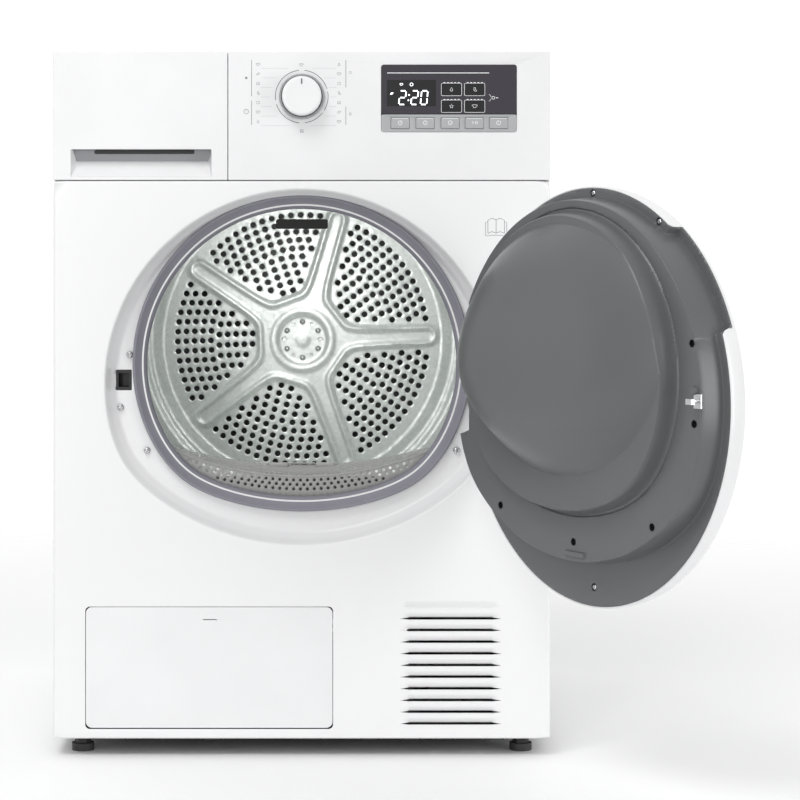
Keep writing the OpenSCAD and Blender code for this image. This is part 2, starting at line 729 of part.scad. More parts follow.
module tension_arm() color(steel) difference() {
    run = idler_c - arm_pivot;
    union() {
        slab(arm_y, arm_t) {
            translate(arm_pivot) circle(r = 11);
            translate(idler_c) circle(r = 9);
            translate(arm_pivot) rotate(atan2(run[1], run[0])) translate([0, -7]) square([norm(run), 14]);
            translate(arm_pivot) rotate(-100) translate([0, -6]) square([34, 12]);
        }
        bar(idler_c, 4, [belt_y - 3, arm_y + hair]);
    }
    bar(arm_pivot, pivot_r + fit, [arm_y - 1, arm_y + arm_t + 1]);
    bar(on_circle(arm_pivot, 28, -100), 2, [arm_y - 1, arm_y + arm_t + 1]);
}

module idler_pulley() color(dark) difference() {
    bar(idler_c, idler_r, [belt_y - 2, belt_y + belt_w + 2]);
    bar(idler_c, 4 + fit, [belt_y - 3, belt_y + belt_w + 3]);
}

// The tension spring: an open coil between the arm and a stay on the tray
spring_r = 5;
wire_r = 0.8;
coils = 9;
spring_side = 8;
spring_steps = 20;
spring_from = on_circle(arm_pivot, 34, -100);
spring_l = 62;
function coil_point(i, j) = let (a = 360 * i / spring_steps, b = 360 * j / spring_side)
    [spring_r * cos(a) + wire_r * cos(b) * cos(a), spring_r * sin(a) + wire_r * cos(b) * sin(a),
        spring_l * i / (spring_steps * coils) + wire_r * sin(b)];
module tension_spring() color(steel) translate([spring_from[0] - 6, arm_y + arm_t / 2, spring_from[1] + 3])
    rotate([0, -90, 0]) {
        rings = spring_steps * coils;
        n = spring_side;
        polyhedron(
            points = [for (i = [0 : rings], j = [0 : n - 1]) coil_point(i, j)],
            faces = concat(
                [[for (j = [0 : n - 1]) j]],
                [for (i = [0 : rings - 1], j = [0 : n - 1])
                    [i * n + j, (i + 1) * n + j, (i + 1) * n + (j + 1) % n, i * n + (j + 1) % n]],
                [[for (j = [n - 1 : -1 : 0]) rings * n + j]]));
    }

module roller(s) color(dark) difference() {
    bar([s * roller_x, roller_z], roller_r, [roller_y, roller_y + roller_w]);
    bar([s * roller_x, roller_z], roller_pin_r + fit, [roller_y - 1, roller_y + roller_w + 1]);
}
module roller_left() roller(-1);
module roller_right() roller(1);

// ---------------------------------------------------------------- heat pump

module compressor() color(dark) {
    z = [tray_top + 8, tray_top + 128];
    bar([compressor_c[0], exchanger_z[1] - 30], 5, [compressor_c[1], compressor_c[1] + stub_reach]);
    translate([compressor_c[0], compressor_c[1], 0]) {
        rotate_extrude() polygon([
            [0, z[0]], [compressor_r - 14, z[0]], [compressor_r, z[0] + 12], [compressor_r, z[1] - 22],
            [compressor_r - 8, z[1] - 8], [compressor_r - 26, z[1]], [0, z[1]]]);
        for (i = [0 : 2]) rotate(30 + 120 * i) {
            translate([compressor_r - 20, -9, z[0]]) cube([34, 18, 3]);
            translate([compressor_r + 5, 0, tray_floor + tray_t]) cylinder(r = 9, h = z[0] - tray_floor - tray_t);
        }
    }
}

module exchanger(y, pitch) {
    block(exchanger_x, [y[0], y[1]], [exchanger_z[0], exchanger_z[0] + 2]);
    block(exchanger_x, [y[0], y[1]], [exchanger_z[1] - 2, exchanger_z[1]]);
    for (x = [exchanger_x[0] : pitch : exchanger_x[1] - 1.2])
        block([x, x + 1.2], [y[0] + 1, y[1] - 1], [exchanger_z[0], exchanger_z[1]]);
    for (x = [exchanger_x[0] - 1, exchanger_x[1]]) block([x, x + 1.2], y, exchanger_z);
}
module evaporator() color("silver") exchanger(evaporator_y, 10);
module condenser() color("silver") exchanger(condenser_y, 8);

module refrigerant_pipes() color("peru") {
    z = exchanger_z;
    x = exchanger_x[1] + 1.3;
    top_z = tray_top + 128;
    pipe([[x, -160, z[1] - 20], [x + 30, -160, z[1] - 20], [x + 30, compressor_c[1] + 20, top_z + 14],
        [compressor_c[0], compressor_c[1] + 20, top_z + 14], [compressor_c[0], compressor_c[1] + 20, top_z]], 4);
    pipe([[x, -30, z[1] - 30], [compressor_c[0], -30, z[1] - 30],
        [compressor_c[0], compressor_c[1] + stub_reach, z[1] - 30]], 3);
    pipe([[x, -50, z[0] + 12], [x + 15, -50, z[0] + 12], [x + 15, -130, z[0] + 12], [x, -130, z[0] + 12]], 2);
}

module condensate_pump() color(grey) {
    translate([pump_c[0], pump_c[1], tray_floor + tray_t]) {
        cylinder(r = 26, h = 22);
        cylinder(r = 12, h = 46);
        translate([-20, -20, 45]) cube([40, 40, 34]);
        translate([20, -4, 4]) cube([26, 8, 8]);
    }
}

// ---------------------------------------------------------------- water tank and its drawer

module tank_housing() color(grey) difference() {
    block([tank_x[0] - 3, tank_x[1] + 3], [front + 27.5, tank_y + tank_l + 6], [tank_bottom - 3.2, cabinet_top - 1]);
    block([tank_x[0] - gap, tank_x[1] + gap], [front + 20, tank_y + tank_l + 3], [tank_bottom - gap, cabinet_top]);
}

module water_tank() color([0.85, 0.88, 0.9]) difference() {
    block(tank_x, [tank_y, tank_y + tank_l], [tank_bottom, tank_bottom + tank_h]);
    block([tank_x[0] + 2, tank_x[1] - 2], [tank_y + 2, tank_y + tank_l - 2],
        [tank_bottom + 2, tank_bottom + tank_h - 2]);
    translate([(tank_x[0] + tank_x[1]) / 2, tank_y + 50, tank_bottom + 10]) cylinder(r = spout_r, h = tank_h);
}

module tank_front() color(white) difference() {
    x = [-half_w, -half_w + drawer_w];
    z = [panel_top + seam, body_h];
    px = [x[0] + pocket_x[0], x[0] + pocket_x[1]];
    pz = [z[0] + pocket_z[0], z[0] + pocket_z[1]];
    union() {
        difference() {
            block(x, [front, front + front_return], z);
            block([x[0] + wall, x[1] - wall], [front + wall, front + 30], [z[0] + wall, z[1] - wall]);
        }
        block([px[0] - wall, px[1] + wall], [front, front + pocket_d + wall], [pz[0] - wall, pz[1] + 12 + wall]);
        block([tank_x[0] + 10, tank_x[1] - 10], [front + hair, tank_y], [tank_bottom + 6, tank_bottom + tank_h - 8]);
    }
    block(px, [front - 1, front + pocket_d], pz);
    block([px[0] + 20, px[1] - 20], [front + wall, front + pocket_d], [pz[0], pz[1] + 12]);
}

// ---------------------------------------------------------------- door

module door_lock() color(dark) {
    slab(floor_y + 0.1, 22) difference() {
        translate(lock_c) square([26, 34], center = true);
        translate(lock_c) square([13, 17], center = true);
    }
    slab(floor_y + 18, 4) translate(lock_c) square([14, 18], center = true);
}

module hinge_leaf() color(steel) difference() {
    union() {
        block(leaf_x, [floor_y - sheet_t - leaf_t, floor_y - sheet_t], [hinge_screw_z[0] - 5, hinge_screw_z[1] + 5]);
        for (s = [-1, 1]) translate([0, 0, door_z + s * lug_h - lug_t / 2]) {
            translate([hinge_x, hinge_y, 0]) cylinder(r = lug_r, h = lug_t);
            translate([hinge_x - lug_r + 1, hinge_y, 0]) cube([11, floor_y - sheet_t - leaf_t + hair - hinge_y, lug_t]);
        }
    }
    translate([hinge_x, hinge_y, door_z - lug_h - lug_t]) cylinder(r = hinge_pin_r + fit, h = 2 * (lug_h + lug_t));
    for (z = hinge_screw_z) bar([hinge_screw_x, z], screw_r + fit, [front, floor_y + 1]);
}

// Room in the door for the two fixed lugs and the ends of the pin
module lug_room() for (s = [0, 1]) translate([0, 0, door_z]) mirror([0, 0, s])
    block([hinge_x - lug_r - 1.5, hinge_x + 60], [front - 60, front + 40],
        [lug_h - lug_t / 2 - 8, lug_h + lug_t / 2 + 1]);

module door_hinge_arm() color(steel) open_door() {
    translate([hinge_x, hinge_y, door_z - lug_h - lug_t / 2 - 0.7])
        cylinder(r = hinge_pin_r, h = 2 * lug_h + lug_t + 1.4);
    translate([hinge_x, hinge_y, door_z - knuckle_h]) cylinder(r = 7, h = 2 * knuckle_h);
    block([hinge_x - 60, hinge_x], [front - 6.8, front - 4], [door_z - 66, door_z + 66]);
    block([hinge_x - 5, hinge_x + 5], [hinge_y, front - 4], [door_z - 66, door_z + 66]);
}

module door_cover() color(white) open_door() difference() {
    turned([0, door_z]) polygon([
        [0, front - door_depth - 2], [150, front - door_depth - 1], [door_r - 30, front - door_depth + 3],
        [door_r - 14, front - door_depth + 8], [door_r - 4, front - door_depth + 17],
        [door_r, front - 12], [door_r, front - 1], [door_r - 2, front - 1], [door_r - 2, front - 12],
        [door_r - 6, front - door_depth + 18.5], [door_r - 15, front - door_depth + 10.5],
        [door_r - 31, front - door_depth + 5.5], [150, front - door_depth + 1.5], [0, front - door_depth + 0.5]]);
    lug_room();
}

bulge_r = 146;
bulge_z = door_z + 54;
lip_depth = 34;
module lip_2d(grow) opening_2d(grow - 7);
module bulge_2d(grow) translate([0, bulge_z]) circle(r = bulge_r + grow);
module door_liner() color(grey) open_door() difference() {
    union() {
        slab(front - 3.5, wall) difference() {
            translate([0, door_z]) circle(r = door_r - 2.4);
            plateau_2d(-wall);
        }
        slab(front - 1 - hair, plateau_depth + 1) difference() {
            plateau_2d(0);
            plateau_2d(-wall);
        }
        slab(front + plateau_depth - wall, wall) difference() {
            plateau_2d(hair - wall);
            lip_2d(-wall);
        }
        slab(front + plateau_depth - hair, lip_depth - plateau_depth) difference() {
            lip_2d(0);
            lip_2d(-wall);
        }
        slab(front + lip_depth - wall, wall) difference() {
            lip_2d(hair - wall);
            bulge_2d(-wall);
        }
        slab(front + lip_depth - hair, bulge_depth - lip_depth) difference() {
            bulge_2d(0);
            bulge_2d(-wall);
        }
        slab(front + bulge_depth - wall, wall) bulge_2d(hair - wall);
    }
    lug_room();
    for (c = rim_screws) sunk_hole(c, front - 1);
    for (c = ring_screws) sunk_hole(c, front + plateau_depth);
    bar(lock_c, 2, [front, front + plateau_depth + 1]);
}

// A screw in the liner: its head is sunk below the face at y, and its shank runs towards -Y
sunk = 1.2;
module door_screw(c, y) {
    bar(c, screw_head_r - 0.6, [y - sunk, y + 0.2]);
    bar(c, screw_r, [y - sunk - 8, y - sunk + hair]);
}
module sunk_hole(c, y) {
    bar(c, screw_r + fit, [y - 10, y + 1]);
    bar(c, screw_head_r - 0.4, [y - sunk, y + 1]);
}
module door_screws() color(steel) open_door() {
    for (c = rim_screws) door_screw(c, front - 1);
    for (c = ring_screws) door_screw(c, front + plateau_depth);
}

module door_hook() color(steel) open_door() {
    y = front + plateau_depth;
    slab(y - wall - 3, 3 + wall + 14) translate(lock_c) circle(r = 1.9);
    slab(y + hair, hook_t) translate(lock_c) square([11, 15], center = true);
    slab(y + 9, 5) translate(lock_c) square([9, 6], center = true);
}

// ---------------------------------------------------------------- service flap and feet

module service_flap() color(white) difference() {
    union() {
        slab(front, flap_t) rounded(flap_x, flap_z, flap_w, flap_h, flap_corner);
        for (x = [flap_x - 3, flap_x + flap_w - 8])
            translate([x, front + flap_t / 2, flap_axis_z]) rotate([0, 90, 0]) cylinder(r = flap_pin_r, h = 11);
        block([flap_x + flap_w / 2 - 8, flap_x + flap_w / 2 + 8], [front + flap_t - hair, front + 12],
            [flap_z + flap_h - 16, flap_z + flap_h - 13]);
    }
    block([flap_x + flap_w / 2 - 8.5, flap_x + flap_w / 2 + 8.5], [front - 1, front + 0.5],
        [flap_z + flap_h - 15, flap_z + flap_h - 14]);
}

module foot(x, y) color(dark) translate([x * feet_x / 2, y * feet_y / 2, 0]) {
    cylinder(r = foot_r, h = 9);
    cylinder(r = stud_r + 3, h = 12);
    cylinder(r = 2 * stud_r, h = foot_h - 5, $fn = 6);
    cylinder(r = stud_r, h = tray_top + 8);
}
module foot_front_left() foot(-1, -1);
module foot_front_right() foot(1, -1);
module foot_rear_left() foot(-1, 1);
module foot_rear_right() foot(1, 1);

// ---------------------------------------------------------------- nodes

side_left();
side_right();
front_panel();
rear_panel();
worktop();
base_tray();
fascia();
front_bulkhead();
rear_duct();
door_seal();
drum_lamp();
air_grille();
drum_felts();
rear_bearing();
drum_belt();
motor_body();
fan_housing();
tension_spring();
compressor();
evaporator();
condenser();
refrigerant_pipes();
condensate_pump();
tank_housing();
display_window();
control_board();
hinge_leaf();
door_lock();
cabinet_screws();
cable_gland();
drum_shell();
drum_back();
drum_lifters();
drum_shaft();
hub_rivets();
motor_shaft();
fan_wheel();
tension_arm();
idler_pulley();
roller_left();
roller_right();
door_liner();
door_cover();
door_hinge_arm();
door_hook();
door_screws();
programme_knob();
key_delay();
key_time();
key_dryness();
key_start();
key_power();
water_tank();
tank_front();
lint_filter();
service_flap();
foot_front_left();
foot_front_right();
foot_rear_left();
foot_rear_right();
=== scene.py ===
# %% [markdown]
# # A front-loading clothes dryer
# The cabinet, the drum and every moving part come as a fixed frame of exact solids. This lesson dresses
# that frame: it gives each solid a finish, and puts a finer surface in place of the ones that the eye
# rests on. First come the frame and its size, so that every later place can be worked out from it.

import json

import bmesh
import bpy
import numpy as np
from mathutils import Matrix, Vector
from mathutils.geometry import delaunay_2d_cdt


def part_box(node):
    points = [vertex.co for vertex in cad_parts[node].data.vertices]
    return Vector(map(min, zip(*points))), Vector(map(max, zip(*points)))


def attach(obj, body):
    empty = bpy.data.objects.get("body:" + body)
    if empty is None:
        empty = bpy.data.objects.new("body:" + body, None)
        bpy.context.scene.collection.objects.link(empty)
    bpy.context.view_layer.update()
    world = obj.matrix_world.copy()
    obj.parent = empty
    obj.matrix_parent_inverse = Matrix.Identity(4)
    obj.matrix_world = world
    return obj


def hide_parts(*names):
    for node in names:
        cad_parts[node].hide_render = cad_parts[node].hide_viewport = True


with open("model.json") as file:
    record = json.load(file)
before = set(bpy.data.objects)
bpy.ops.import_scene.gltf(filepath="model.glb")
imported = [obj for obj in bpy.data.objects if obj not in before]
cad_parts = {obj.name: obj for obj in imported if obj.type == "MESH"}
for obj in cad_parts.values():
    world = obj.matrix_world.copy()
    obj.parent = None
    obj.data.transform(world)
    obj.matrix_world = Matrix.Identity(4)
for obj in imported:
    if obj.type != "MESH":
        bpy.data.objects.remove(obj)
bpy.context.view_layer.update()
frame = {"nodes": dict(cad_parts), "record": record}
MM = 0.001

# %% [markdown]
# ## Camera, floor and light
# A shop shows such a machine from straight ahead and a little above its middle, with a long lens, so
# that its uprights stay upright. A lens shift frames it, as a view camera's would. Three large soft
# lamps stand above, beside and in front of the machine, and a small one lights its drum. The room is
# brighter behind the machine than before it, so that white sheets keep their shape.

# %% Camera
scene = bpy.context.scene
camera = bpy.data.objects.new("camera", bpy.data.cameras.new("camera"))
scene.collection.objects.link(camera)
camera.location = (0.0075, -3.300, 0.6105)
camera.rotation_euler = (np.pi / 2, 0, 0)
camera.data.lens = 112.6
camera.data.shift_x = 0.115
camera.data.shift_y = -0.191
scene.camera = camera

# %% Lights
scene.view_settings.view_transform = "Standard"
scene.world = bpy.data.worlds.new("studio")
scene.world.use_nodes = True
tree = scene.world.node_tree
backdrop = tree.nodes["Background"]
backdrop.inputs["Color"].default_value = (1.0, 1.0, 1.0, 1)
way = tree.nodes.new("ShaderNodeTexCoord")
axes = tree.nodes.new("ShaderNodeSeparateXYZ")
depth = tree.nodes.new("ShaderNodeMapRange")
for socket, number in {"From Min": -0.1, "From Max": 0.5, "To Min": 0.56, "To Max": 1.05}.items():
    depth.inputs[socket].default_value = number
tree.links.new(way.outputs["Generated"], axes.inputs["Vector"])
tree.links.new(axes.outputs["Y"], depth.inputs["Value"])
tree.links.new(depth.outputs["Result"], backdrop.inputs["Strength"])


def soft_light(name, place, target, size, power):
    """A lamp of the given width and height, turned from its place towards its target."""
    lamp = bpy.data.objects.new(name, bpy.data.lights.new(name, "AREA"))
    lamp.data.shape = "RECTANGLE"
    lamp.data.size, lamp.data.size_y = size
    lamp.data.energy = power
    lamp.visible_camera = False
    lamp.location = place
    lamp.rotation_euler = (Vector(target) - Vector(place)).to_track_quat("-Z", "Y").to_euler()
    scene.collection.objects.link(lamp)
    return lamp


soft_light("top", (-0.9, -1.9, 2.9), (0, 0, 0.45), (1.3, 1.3), 34)
soft_light("side", (2.75, -2.05, 0.7), (0.42, -0.69, 0.45), (1.0, 1.7), 26)
soft_light("front", (-0.95, -3.7, 0.85), (0, 0, 0.48), (0.5, 2.0), 22)
soft_light("drum_glow", (0.0, -0.17, 0.60), (0, 0.18, 0.44), (0.16, 0.16), 0.55)

# %% [markdown]
# ## Writing finishes
# A finish is a shader whose colour, roughness and fine relief change over the surface. Wrapping a
# socket in a small class lets that be written as arithmetic: adding two values adds a Math node. All
# patterns are measured in metres on the object itself, so they stay put when a part moves.


# %% Shader arithmetic
class Value:
    """A number that varies over a surface. The usual operators add Math nodes."""

    def __init__(self, finish, socket):
        self.finish = finish
        self.socket = socket

    def math(self, operation, *others):
        values = dict(enumerate((self, *others)))
        return self.finish.node("ShaderNodeMath", {"operation": operation}, values)

    def __add__(self, other):
        return self.math("ADD", other)

    def __mul__(self, other):
        return self.math("MULTIPLY", other)

    def __rsub__(self, other):
        return self.finish.node("ShaderNodeMath", {"operation": "SUBTRACT"}, {0: other, 1: self})

    def __sub__(self, other):
        return self.math("SUBTRACT", other)

    __radd__ = __add__
    __rmul__ = __mul__

    def between(self, low, high):
        """0 up to low, 1 from high on, and an even ramp between."""
        ramp = {"Value": self, "From Min": low, "From Max": high}
        return self.finish.node("ShaderNodeMapRange", {"clamp": True}, ramp)


finishes = {}


class Finish:
    """One material: a Principled shader, and one method that adds any other node. Each finish is kept
    under its name, so that solids and pieces can ask for it."""

    def __init__(self, name, color, rough, metal=0.0, coat=0.0, **constants):
        self.material = bpy.data.materials.new(name)
        self.material.use_nodes = True
        self.tree = self.material.node_tree
        self.shader = self.tree.nodes["Principled BSDF"]
        self.color = (*color, 1)
        self.set("Base Color", self.color)
        self.set("Roughness", rough)
        self.set("Metallic", metal)
        self.set("Coat Weight", coat)
        for socket, number in constants.items():
            self.set(socket.replace("_", " "), number)
        self.place = self.node("ShaderNodeTexCoord", out="Object")
        self.material.diffuse_color = self.color
        finishes[name] = self.material

    def set(self, socket, value, node=None):
        target = (node or self.shader).inputs[socket]
        if isinstance(value, Value):
            self.tree.links.new(value.socket, target)
        else:
            target.default_value = value

    def node(self, kind, settings=None, sockets=None, out=0):
        made = self.tree.nodes.new(kind)
        for key, setting in (settings or {}).items():
            setattr(made, key, setting)
        for key, value in (sockets or {}).items():
            self.set(key, value, made)
        return Value(self, made.outputs[out])

    def stretched(self, scale, turn=(0, 0, 0)):
        """Places on the object, scaled differently along each axis."""
        sockets = {"Vector": self.place, "Scale": scale, "Rotation": turn}
        return self.node("ShaderNodeMapping", {}, sockets)

    def noise(self, scale, detail=2.0, place=None):
        sockets = {"Vector": place or self.place, "Scale": scale, "Detail": detail}
        return self.node("ShaderNodeTexNoise", {}, sockets)

    def cells(self, scale, out="Distance", place=None):
        return self.node("ShaderNodeTexVoronoi", {}, {"Vector": place or self.place, "Scale": scale}, out)

    def mix(self, factor, first, second):
        """A colour between two colours."""
        return self.node("ShaderNodeMix", {"data_type": "RGBA"}, {0: factor, 6: first, 7: second}, 2)

    def tint(self, factor, times):
        """Turns the base colour towards a multiple of itself where factor is high."""
        other = np.array(self.color[:3]) * times
        self.set("Base Color", self.mix(factor, self.color, (*other, 1)))

    def relief(self, height, depth):
        """Bumps of the given depth in metres."""
        bump = self.node("ShaderNodeBump", {}, {"Height": height, "Distance": depth, "Strength": 1.0})
        self.set("Normal", bump)


# %% [markdown]
# ### Enamel, plastic, rubber and foil
# Most skins of such a machine differ in numbers only: soft clouds change the tint and the shine a
# little, and a fine grain makes the relief. Stoved enamel has a faint orange peel, a moulding has the
# grain of its mould, rubber has a pale bloom, and a printed foil is almost smooth.


# %% Clouded finishes
def clouded(name, color, rough, cloud, ramp, times, swing, grain, middle=0.5, gritty=0.0, **shader):
    """The tint is a share of the ramp between two densities of cloud. The roughness is
    rough + swing (cloud - middle) + gritty (grain - 1/2). The grain is the relief as well."""
    finish = Finish(name, color, rough, **shader)
    patches, fine = finish.noise(*cloud), finish.noise(*grain[:2])
    low, high, share = ramp
    finish.tint(patches.between(low, high) * share, times)
    finish.set("Roughness", rough + swing * (patches - middle) + gritty * (fine - 0.5))
    finish.relief(fine, grain[2])


def enamel(name, color, rough, peel):
    """Stoved paint: slow waves of roughness, a very faint yellowing, and orange peel."""
    clouded(name, color, rough, (3.0,), (0.3, 0.8, 0.35), (0.975, 0.97, 0.955), 0.08,
            (420.0, 1.0, peel), middle=0.0, coat=0.25, Coat_Roughness=0.12)


def moulded(name, color, rough, grain, depth, coat=0.0):
    """Injection-moulded plastic: a spark-eroded grain and slight swirls where it flowed."""
    clouded(name, color, rough, (9.0, 3.0), (0.35, 0.75, 0.5), 0.90, 0.10, (grain, 2.0, depth),
            gritty=0.12, coat=coat)


def rubber(name, color, rough):
    """A matt rubber with a pale bloom in patches and a fine mould grain."""
    clouded(name, color, rough, (22.0, 4.0), (0.45, 0.8, 0.35), 1.25, 0.15, (700.0, 2.0, 0.00006))


def foil(name, color, rough, coat=0.0):
    """A smooth printed foil with a faint cloudiness."""
    clouded(name, color, rough, (40.0, 2.0), (0.4, 0.7, 0.4), 1.15, 0.06, (2500.0, 1.0, 0.00001),
            coat=coat)


enamel("enamel_white", (0.825, 0.827, 0.832), 0.34, 0.00004)
moulded("plastic_white", (0.81, 0.812, 0.818), 0.33, 1500.0, 0.00003, 0.15)
moulded("plastic_grey", (0.118, 0.122, 0.125), 0.32, 1300.0, 0.00006)
moulded("filter_grey", (0.36, 0.358, 0.35), 0.42, 1300.0, 0.00008)
# This near-black finish is also laid in the dial's gap, the drawer's finger slot and the liner's screw
# wells, where it is painted shade.
moulded("plastic_dark", (0.012, 0.012, 0.013), 0.45, 1200.0, 0.00008)
moulded("chrome_grey", (0.30, 0.305, 0.31), 0.22, 900.0, 0.00001, 0.4)
# The drawer's pocket is white plastic; this grey finish on its back wall is painted shade under the
# pocket's roof.
moulded("painted_pocket_shade", (0.30, 0.305, 0.32), 0.5, 1300.0, 0.00008)
moulded("key_silver", (0.40, 0.41, 0.415), 0.38, 1800.0, 0.00003)
moulded("tank_clear", (0.66, 0.70, 0.73), 0.30, 600.0, 0.00004)
moulded("cast_iron", (0.02, 0.02, 0.021), 0.5, 300.0, 0.0003)
rubber("seal_grey", (0.225, 0.22, 0.255), 0.55)
rubber("rubber_black", (0.035, 0.034, 0.034), 0.6)
foil("display_dark", (0.030, 0.026, 0.036), 0.6)
foil("screen_black", (0.003, 0.003, 0.004), 0.4)
foil("lamp_lens", (0.004, 0.004, 0.004), 0.6)
foil("board_green", (0.02, 0.12, 0.06), 0.4, 0.3)

# %% [markdown]
# ### Steel
# The drum is galvanised: the zinc freezes into patches, the spangle, each a little lighter or darker
# than the next. Turned and stamped parts carry fine parallel scratches instead. Handled steel is a
# bit duller where dust and wear have taken its shine.


# %% Steel finishes
def galvanised(name, color, rough, metal, spangle):
    """Zinc patches of different brightness, a fine grit, and dull clouds."""
    finish = Finish(name, color, rough, metal)
    patch = finish.cells(spangle, "Color")
    shade = finish.node("ShaderNodeSeparateColor", {}, {"Color": patch}, "Red")
    cloud = finish.noise(14.0, 4.0)
    finish.tint(0.55 * shade + 0.45 * cloud.between(0.35, 0.7), (0.80, 0.82, 0.80))
    finish.set("Roughness", rough + 0.14 * shade + 0.16 * (cloud - 0.5))
    finish.relief(finish.noise(1100.0, 3.0) + 0.5 * shade, 0.00004)


def brushed(name, color, rough, metal=1.0, along=(1, 1, 1)):
    """Fine scratches drawn out along one axis, and clouds of dust."""
    finish = Finish(name, color, rough, metal)
    scratch = finish.noise(900.0, 2.0, finish.stretched(along))
    cloud = finish.noise(30.0, 3.0)
    finish.tint(scratch.between(0.4, 0.7) * 0.4, 0.72)
    finish.set("Roughness", rough + 0.22 * (scratch - 0.5) + 0.14 * (cloud - 0.5))
    finish.relief(scratch, 0.00003)


galvanised("steel_plate", (0.80, 0.822, 0.808), 0.35, 0.48, 260.0)
galvanised("steel_zinc", (0.68, 0.72, 0.69), 0.36, 0.5, 90.0)
brushed("steel_bright", (0.62, 0.62, 0.63), 0.28, 1.0, (1, 0.06, 1))
brushed("fin_aluminium", (0.70, 0.71, 0.72), 0.38, 0.9, (0.1, 1, 1))
brushed("copper", (0.62, 0.28, 0.15), 0.34, 1.0, (1, 1, 0.2))

# %% [markdown]
# ### Felt, ink and the filter's net
# Felt is a mat of fibres, so its relief is coarse and its colour mixed. Ink lies a touch thinner in
# places. The net is woven: two waves that cross, of which the higher one is on top. Its colour is
# painted lighter on the high threads and darker between them, as painted light and shade.


# %% Fibres, ink and threads
def felt(name, color):
    """Matted fibres: two noises drawn out in different directions."""
    finish = Finish(name, color, 0.95)
    fibres = (finish.noise(500.0, 4.0, finish.stretched((1, 0.2, 1)))
              + finish.noise(500.0, 4.0, finish.stretched((0.2, 1, 1))))
    finish.tint(fibres.between(0.7, 1.3), 1.9)
    finish.relief(fibres, 0.0006)


def ink(name, color, glow=0.0):
    """Printing ink, thinner where cover is low. Segments of a display shine as well."""
    finish = Finish(name, color, 0.6, Emission_Strength=glow)
    finish.set("Emission Color", finish.color)
    cover = finish.noise(1800.0, 2.0)
    finish.tint(cover.between(0.55, 0.75) * 0.3, 0.85)
    finish.set("Roughness", 0.5 + 0.2 * cover)


def woven(name, color, pitch):
    """Crossed threads: the maximum of one wave along x and one along z."""
    finish = Finish(name, color, 0.6)
    threads = [finish.node("ShaderNodeTexWave", {"bands_direction": axis},
                           {"Vector": finish.place, "Scale": pitch}) for axis in "XZ"]
    height = threads[0].math("MAXIMUM", threads[1])
    # Painted light and shade: the threads are coloured lighter where they stand high and darker in the
    # gaps between them.
    finish.tint(height.between(0.3, 0.9), (1.4, 1.4, 1.3871))
    finish.relief(height, 0.0003)


felt("felt_dark", (0.05, 0.05, 0.055))
ink("ink_grey", (0.11, 0.11, 0.12))
ink("ink_pale", (0.52, 0.55, 0.58))
ink("ink_white", (0.85, 0.86, 0.88))
ink("segments_lit", (0.95, 0.97, 1.0), 1.3)
woven("filter_net", (0.30, 0.30, 0.31), 280.0)

# %% [markdown]
# ### Finishing the solids
# The record names a finish for every solid, so one loop dresses them all.

# %% Every solid gets its finish
for part in frame["record"]["subparts"]:
    data = frame["nodes"][part["node"]].data
    data.materials.clear()
    data.materials.append(finishes[part["material_slot"]])
print("finished", len(frame["nodes"]), "solids")

# %% [markdown]
# ## Tools for shaping
# All lengths from here on are millimetres, with x to the right, z up and y into the machine. A flat
# blank is cut from its outline and its holes, and filled with triangles. A press is then a function
# that says how deep each place of the blank is pushed. Round things are rings of points joined up.


# %% Cutting a blank
def inside(points, outline):
    """A point is inside when a ray to its right crosses the outline an odd number of times."""
    x, z = points[:, :1], points[:, 1:]
    x1, z1 = outline.T
    x2, z2 = np.roll(outline, -1, axis=0).T
    crosses = (z1 > z) != (z2 > z)
    meets = x1 + (z - z1) * (x2 - x1) / np.where(z1 == z2, 1.0, z2 - z1)
    return (crosses & (x < meets)).sum(axis=1) % 2 == 1


def cut_out(keep, points, holes):
    """Drops the points that lie in a hole. Only those in the hole's own box are looked at closely."""
    for hole in holes:
        close = keep & ((points > hole.min(axis=0)) & (points < hole.max(axis=0))).all(axis=1)
        keep[close] &= ~inside(points[close], hole)
    return keep


def blank(outline, holes=(), loose=()):
    """Triangles between an outline and its holes. Loose points are corners of triangles too."""
    loops = [outline, *holes]
    free = np.concatenate(loose) if len(loose) else np.zeros((0, 2))
    corners = np.concatenate([*loops, free[cut_out(inside(free, outline), free, holes)]])
    edges, start = [], 0
    for loop in loops:
        turn = np.arange(len(loop))
        edges += np.column_stack([start + turn, start + np.roll(turn, -1)]).tolist()
        start += len(loop)
    made, _, faces, *_ = delaunay_2d_cdt([Vector(c) for c in corners], edges, [], 0, 1e-5)
    made, faces = np.array([v[:] for v in made]), np.array(faces)
    middle = made[faces].mean(axis=1)
    kept = faces[cut_out(inside(middle, outline), middle, holes)]
    used, faces = np.unique(kept, return_inverse=True)
    return made[used], faces.reshape(-1, 3)


def lattice(x, z):
    """Every pairing of two lists of coordinates, as points."""
    return np.stack(np.meshgrid(x, z), axis=-1).reshape(-1, 2)


def staggered(x, rows, pitch):
    """A lattice of places along x and numbered rows. Every second row is moved by half a pitch."""
    spots = lattice(x, rows)
    return spots + np.where(spots[:, 1:] % 2 == 1, (pitch / 2, 0), (0, 0))


def ease(t):
    """Rises from 0 to 1 as t does, level at both ends."""
    t = np.clip(t, 0.0, 1.0)
    return t * t * (3 - 2 * t)


# %% Outlines
def circle(x, z, radius, count=32, turn=0.0):
    """Points on a circle, anticlockwise as seen from the front."""
    angle = np.radians(turn) + np.linspace(0, 2 * np.pi, count, endpoint=False)
    return np.column_stack([x + radius * np.cos(angle), z + radius * np.sin(angle)])


